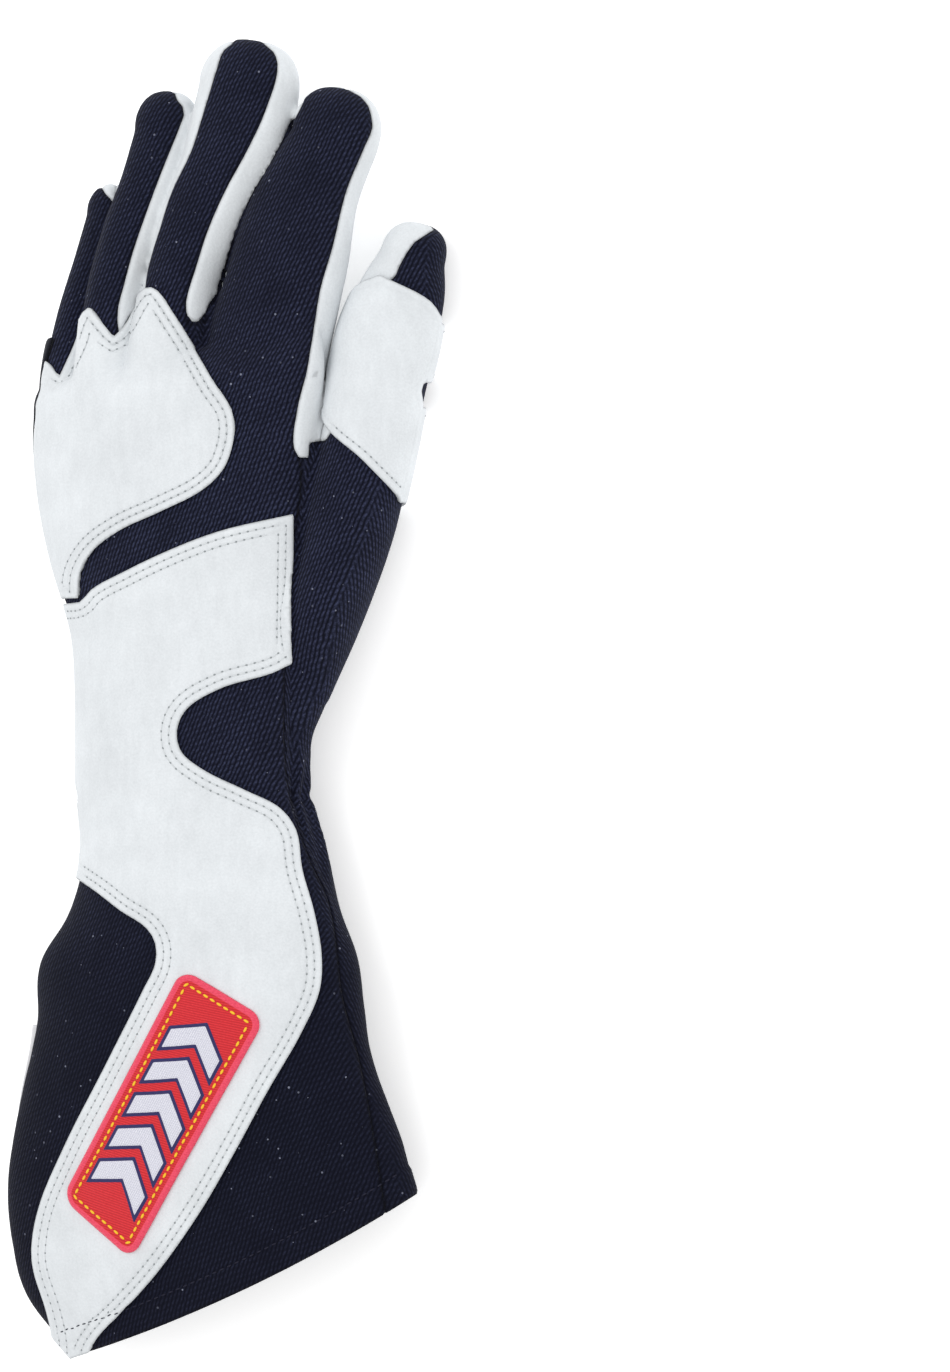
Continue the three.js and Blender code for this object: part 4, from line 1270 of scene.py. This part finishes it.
zigzag = []
for i, x in enumerate(np.arange(27, 78, ZIGZAG_STEP)):
    zigzag.append((x, ZIGZAG_V[i % 2]))
fine_line = []
for (x1, y1), (x2, y2) in zip(zigzag, zigzag[1:]):
    for t in np.linspace(0, 1, 8, endpoint=False):
        fine_line.append((x1 + (x2 - x1) * t, y1 + (y2 - y1) * t))
for run in seams.runs(fine_line, seams.up, 0.08):
    stitches(pale, None, run, 1.9, 1.7, 0.55, 0.2)

for name, places, material in (
    ("look_thread_pale", pale, THREAD_PALE),
    ("look_thread_dark", dark, THREAD_DARK),
    # the grey needle-hole beads are painted shade
    ("look_hole_shades", hole_shade_marks, HOLE_SHADE),
):
    finish(to_frame(sewn(name, places)), (), material)

# Badge

low_left, low_right = Vector(BADGE_CORNERS[3]), Vector(BADGE_CORNERS[2])
high_left, high_right = Vector(BADGE_CORNERS[0]), Vector(BADGE_CORNERS[1])
BADGE_LONG = ((high_left + high_right) / 2 - (low_left + low_right) / 2).length
BADGE_WIDE = ((low_right - low_left).length + (high_right - high_left).length) / 2
HALF_P, HALF_Q = BADGE_WIDE / 2, BADGE_LONG / 2


def badge_point(p, q):
    """A place on the badge as (u, v), from its own coordinates across and along."""
    a, b = (p / HALF_P + 1) / 2, (q / HALF_Q + 1) / 2
    low = low_left.lerp(low_right, a)
    return low.lerp(high_left.lerp(high_right, a), b)


def badge_edge(p, q):
    """Distance inside the badge's rounded rectangle."""
    x = np.abs(p) - (HALF_P - BADGE_RADIUS)
    y = np.abs(q) - (HALF_Q - BADGE_RADIUS)
    out = np.hypot(np.maximum(x, 0), np.maximum(y, 0))
    return BADGE_RADIUS - out - np.minimum(np.maximum(x, y), 0)


def motif(p, q):
    """Distance inside the raised motif: a row of five chevrons."""
    best = np.full(np.shape(p), -99.0)
    slope = 0.75
    for k in range(-2, 3):
        along = np.abs(q - k * CHEVRON_PITCH + slope * (np.abs(p) - CHEVRON_HALF / 2))
        band = (CHEVRON_THICK / 2 - along) / math.hypot(1, slope)
        best = np.maximum(best, np.minimum(band, CHEVRON_HALF - np.abs(p)))
    return best


CHEVRON_PITCH = 11.6
CHEVRON_THICK = 6.2
CHEVRON_HALF = 8.6
OUTLINE = 1.0
bm = bmesh.new()
columns, rows = int(BADGE_WIDE / BADGE_GRID), int(BADGE_LONG / BADGE_GRID)
bmesh.ops.create_grid(bm, x_segments=columns, y_segments=rows, size=1)
layers = [bm.verts.layers.float.new(name) for name in ("motif", "rim")]
lie = bm.verts.layers.float_vector.new("cloth")
flat = np.array([vert.co[:2] for vert in bm.verts]) * (HALF_P, HALF_Q)
rim, inner = badge_edge(flat[:, 0], flat[:, 1]), motif(flat[:, 0], flat[:, 1])
two = np.stack([rim, -rim])
for vert, (p, q), edge, mark in zip(bm.verts, flat, rim, inner):
    place, normal = seams.down(*badge_point(p, q))
    top = BADGE_TOP - 0.55 * math.exp(-((max(edge, 0) / 0.45) ** 2))
    top += 0.3 * math.exp(-(((edge - 1.1) / 0.8) ** 2))
    top += 0.22 * float(step(mark, -OUTLINE - 0.2, -OUTLINE + 0.2)) + 0.3 * float(step(mark, -0.15, 0.5))
    vert.co = place + normal * top
    vert[layers[0]], vert[layers[1]], vert[lie] = mark, edge, (p, q, 0)
label = split(bm, two.argmax(0), two)
badge_bm = piece_of(bm, 0)
bm.free()


def badge_material():
    material = shader("badge_thread", (0.75, 0.03, 0.045), 0.6, 0.1, 0.3)
    tree = material.node_tree
    place, mark, edge = (
        node(tree, "Attribute", attribute_name=name).outputs["Vector" if name == "cloth" else "Fac"]
        for name in ("cloth", "motif", "rim")
    )
    parts = node(tree, "SeparateXYZ", {0: place})
    s, t = parts.outputs[0], parts.outputs[1]
    field_lines = waves(tree, s, t, 20, 0.7)
    motif_lines = waves(tree, s, t, 90, 0.62)
    grain = cloth_noise(tree, place, 0.6)
    white = ramp(tree, mark, -0.05, 0.05)
    outlined = ramp(tree, mark, -OUTLINE - 0.05, -OUTLINE + 0.05)
    border = ramp(tree, edge, 1.85, 2.0, 1, 0)
    red = mixed(tree, calc(tree, "MULTIPLY", field_lines, grain), (0.5, 0.008, 0.016), (0.9, 0.04, 0.05))
    rim_red = mixed(tree, grain, (0.6, 0.02, 0.06), (0.95, 0.1, 0.17))
    color = mixed(tree, border, red, rim_red)
    color = mixed(tree, outlined, color, (0.02, 0.018, 0.1))
    bright = mixed(tree, calc(tree, "MULTIPLY", motif_lines, grain), (0.6, 0.6, 0.7), (0.92, 0.92, 0.95))
    color = mixed(tree, white, color, bright)
    lines = mixed(tree, white, (0, 0, 0), (1, 1, 1))
    height = calc(tree, "ADD", field_lines, calc(tree, "MULTIPLY", motif_lines, lines))
    return bumped(material, color, height, 0.12)


made = mesh_object("look_badge", badge_bm)
thicken(made, BADGE_TOP - PATCH_TOP)
finish(to_frame(made), ("badge",), badge_material())

track = []
half_p, half_q = HALF_P - YELLOW_INSET, HALF_Q - YELLOW_INSET
corners = [(half_p, half_q), (-half_p, half_q), (-half_p, -half_q), (half_p, -half_q)]
for i, (p, q) in enumerate(corners):
    next_p, next_q = corners[(i + 1) % 4]
    for t in np.linspace(0, 1, 40, endpoint=False):
        track.append(tuple(badge_point(p + (next_p - p) * t, q + (next_q - q) * t)))
track.append(track[0])
for run in seams.runs(track, seams.down, BADGE_TOP + 0.12):
    stitches(yellow, None, run, 2.5, 2.0, 0.85, 0.3)
finish(to_frame(sewn("look_badge_thread", yellow)), (), THREAD_YELLOW)

# Side label: a folded satin tab caught in the seam

rings = TUBES["body"].ring(80)
far_side = rings[np.arange(len(rings)), rings[:, :, 0].argmin(1)]
label_bm = bmesh.new()
bmesh.ops.create_grid(label_bm, x_segments=10, y_segments=40, size=1)
for vert in label_bm.verts:
    out, along = (vert.co.x + 1) / 2, (vert.co.y + 1) / 2
    v = LABEL_FROM + (LABEL_TO - LABEL_FROM) * along
    edge_x = np.interp(v, far_side[:, 1], far_side[:, 0])
    far = 0.6 + (LABEL_OUT - 0.6) * along
    sag = 0.8 * out**2 * math.sin(math.pi * along) + 0.35 * math.sin(5 * along + 1) * out
    vert.co = Vector((edge_x + 2 - (far + 2) * out, v, LABEL_Z + sag - 0.9 * (1 - out)))
made = mesh_object("look_side_label", label_bm)
thicken(made, 0.5)
finish(to_frame(made), ("side_label",), SATIN)
bpy.data.objects.remove(form)

# Floor, light and camera


def area_light(name, at, size, power, aim=(0, 0, 0.02)):
    light = bpy.data.lights.new(name, "AREA")
    light.size = size
    light.energy = power
    made = bpy.data.objects.new(name, light)
    made.location = at
    made.rotation_euler = (Vector(aim) - Vector(at)).to_track_quat("-Z", "Y").to_euler()
    bpy.context.scene.collection.objects.link(made)


FLOOR_GLOW = 0.4
floor_bm = bmesh.new()
bmesh.ops.create_grid(floor_bm, x_segments=1, y_segments=1, size=3)
floor = mesh_object("floor", floor_bm)
floor.location.z = -0.0004
paint = shader("floor_paint", (0.97, 0.97, 0.97), 0.9)
paint.node_tree.nodes["Principled BSDF"].inputs["Emission Color"].default_value = (1, 1, 1, 1)
paint.node_tree.nodes["Principled BSDF"].inputs["Emission Strength"].default_value = FLOOR_GLOW
floor.data.materials.append(paint)

world = bpy.data.worlds.new("studio")
world.use_nodes = True
world.node_tree.nodes["Background"].inputs["Color"].default_value = (1, 1, 1, 1)
world.node_tree.nodes["Background"].inputs["Strength"].default_value = 0.92
bpy.context.scene.world = world
area_light("key", (-0.7, 0.8, 1.5), 1.2, 9)
area_light("fill", (1.1, -0.4, 1.4), 1.4, 4)

camera_data = bpy.data.cameras.new("camera")
camera_data.lens = LENS
camera_data.sensor_width = SENSOR
camera_data.clip_end = 20
camera = bpy.data.objects.new("camera", camera_data)
bpy.context.scene.collection.objects.link(camera)
aim_u, aim_v = WIDE / 2 * PIXEL, (BOTTOM - TALL / 2) * PIXEL
aim = aim_u * ACROSS + aim_v * ALONG + AIM_W * SIGHT - np.array([*MIDDLE, 0])
camera.location = (aim + SIGHT * TALL * PIXEL * LENS / SENSOR) * 0.001
camera.rotation_euler = Matrix((ACROSS, ALONG, SIGHT)).transposed().to_euler()
bpy.context.scene.camera = camera
bpy.context.scene.view_settings.view_transform = "Standard"
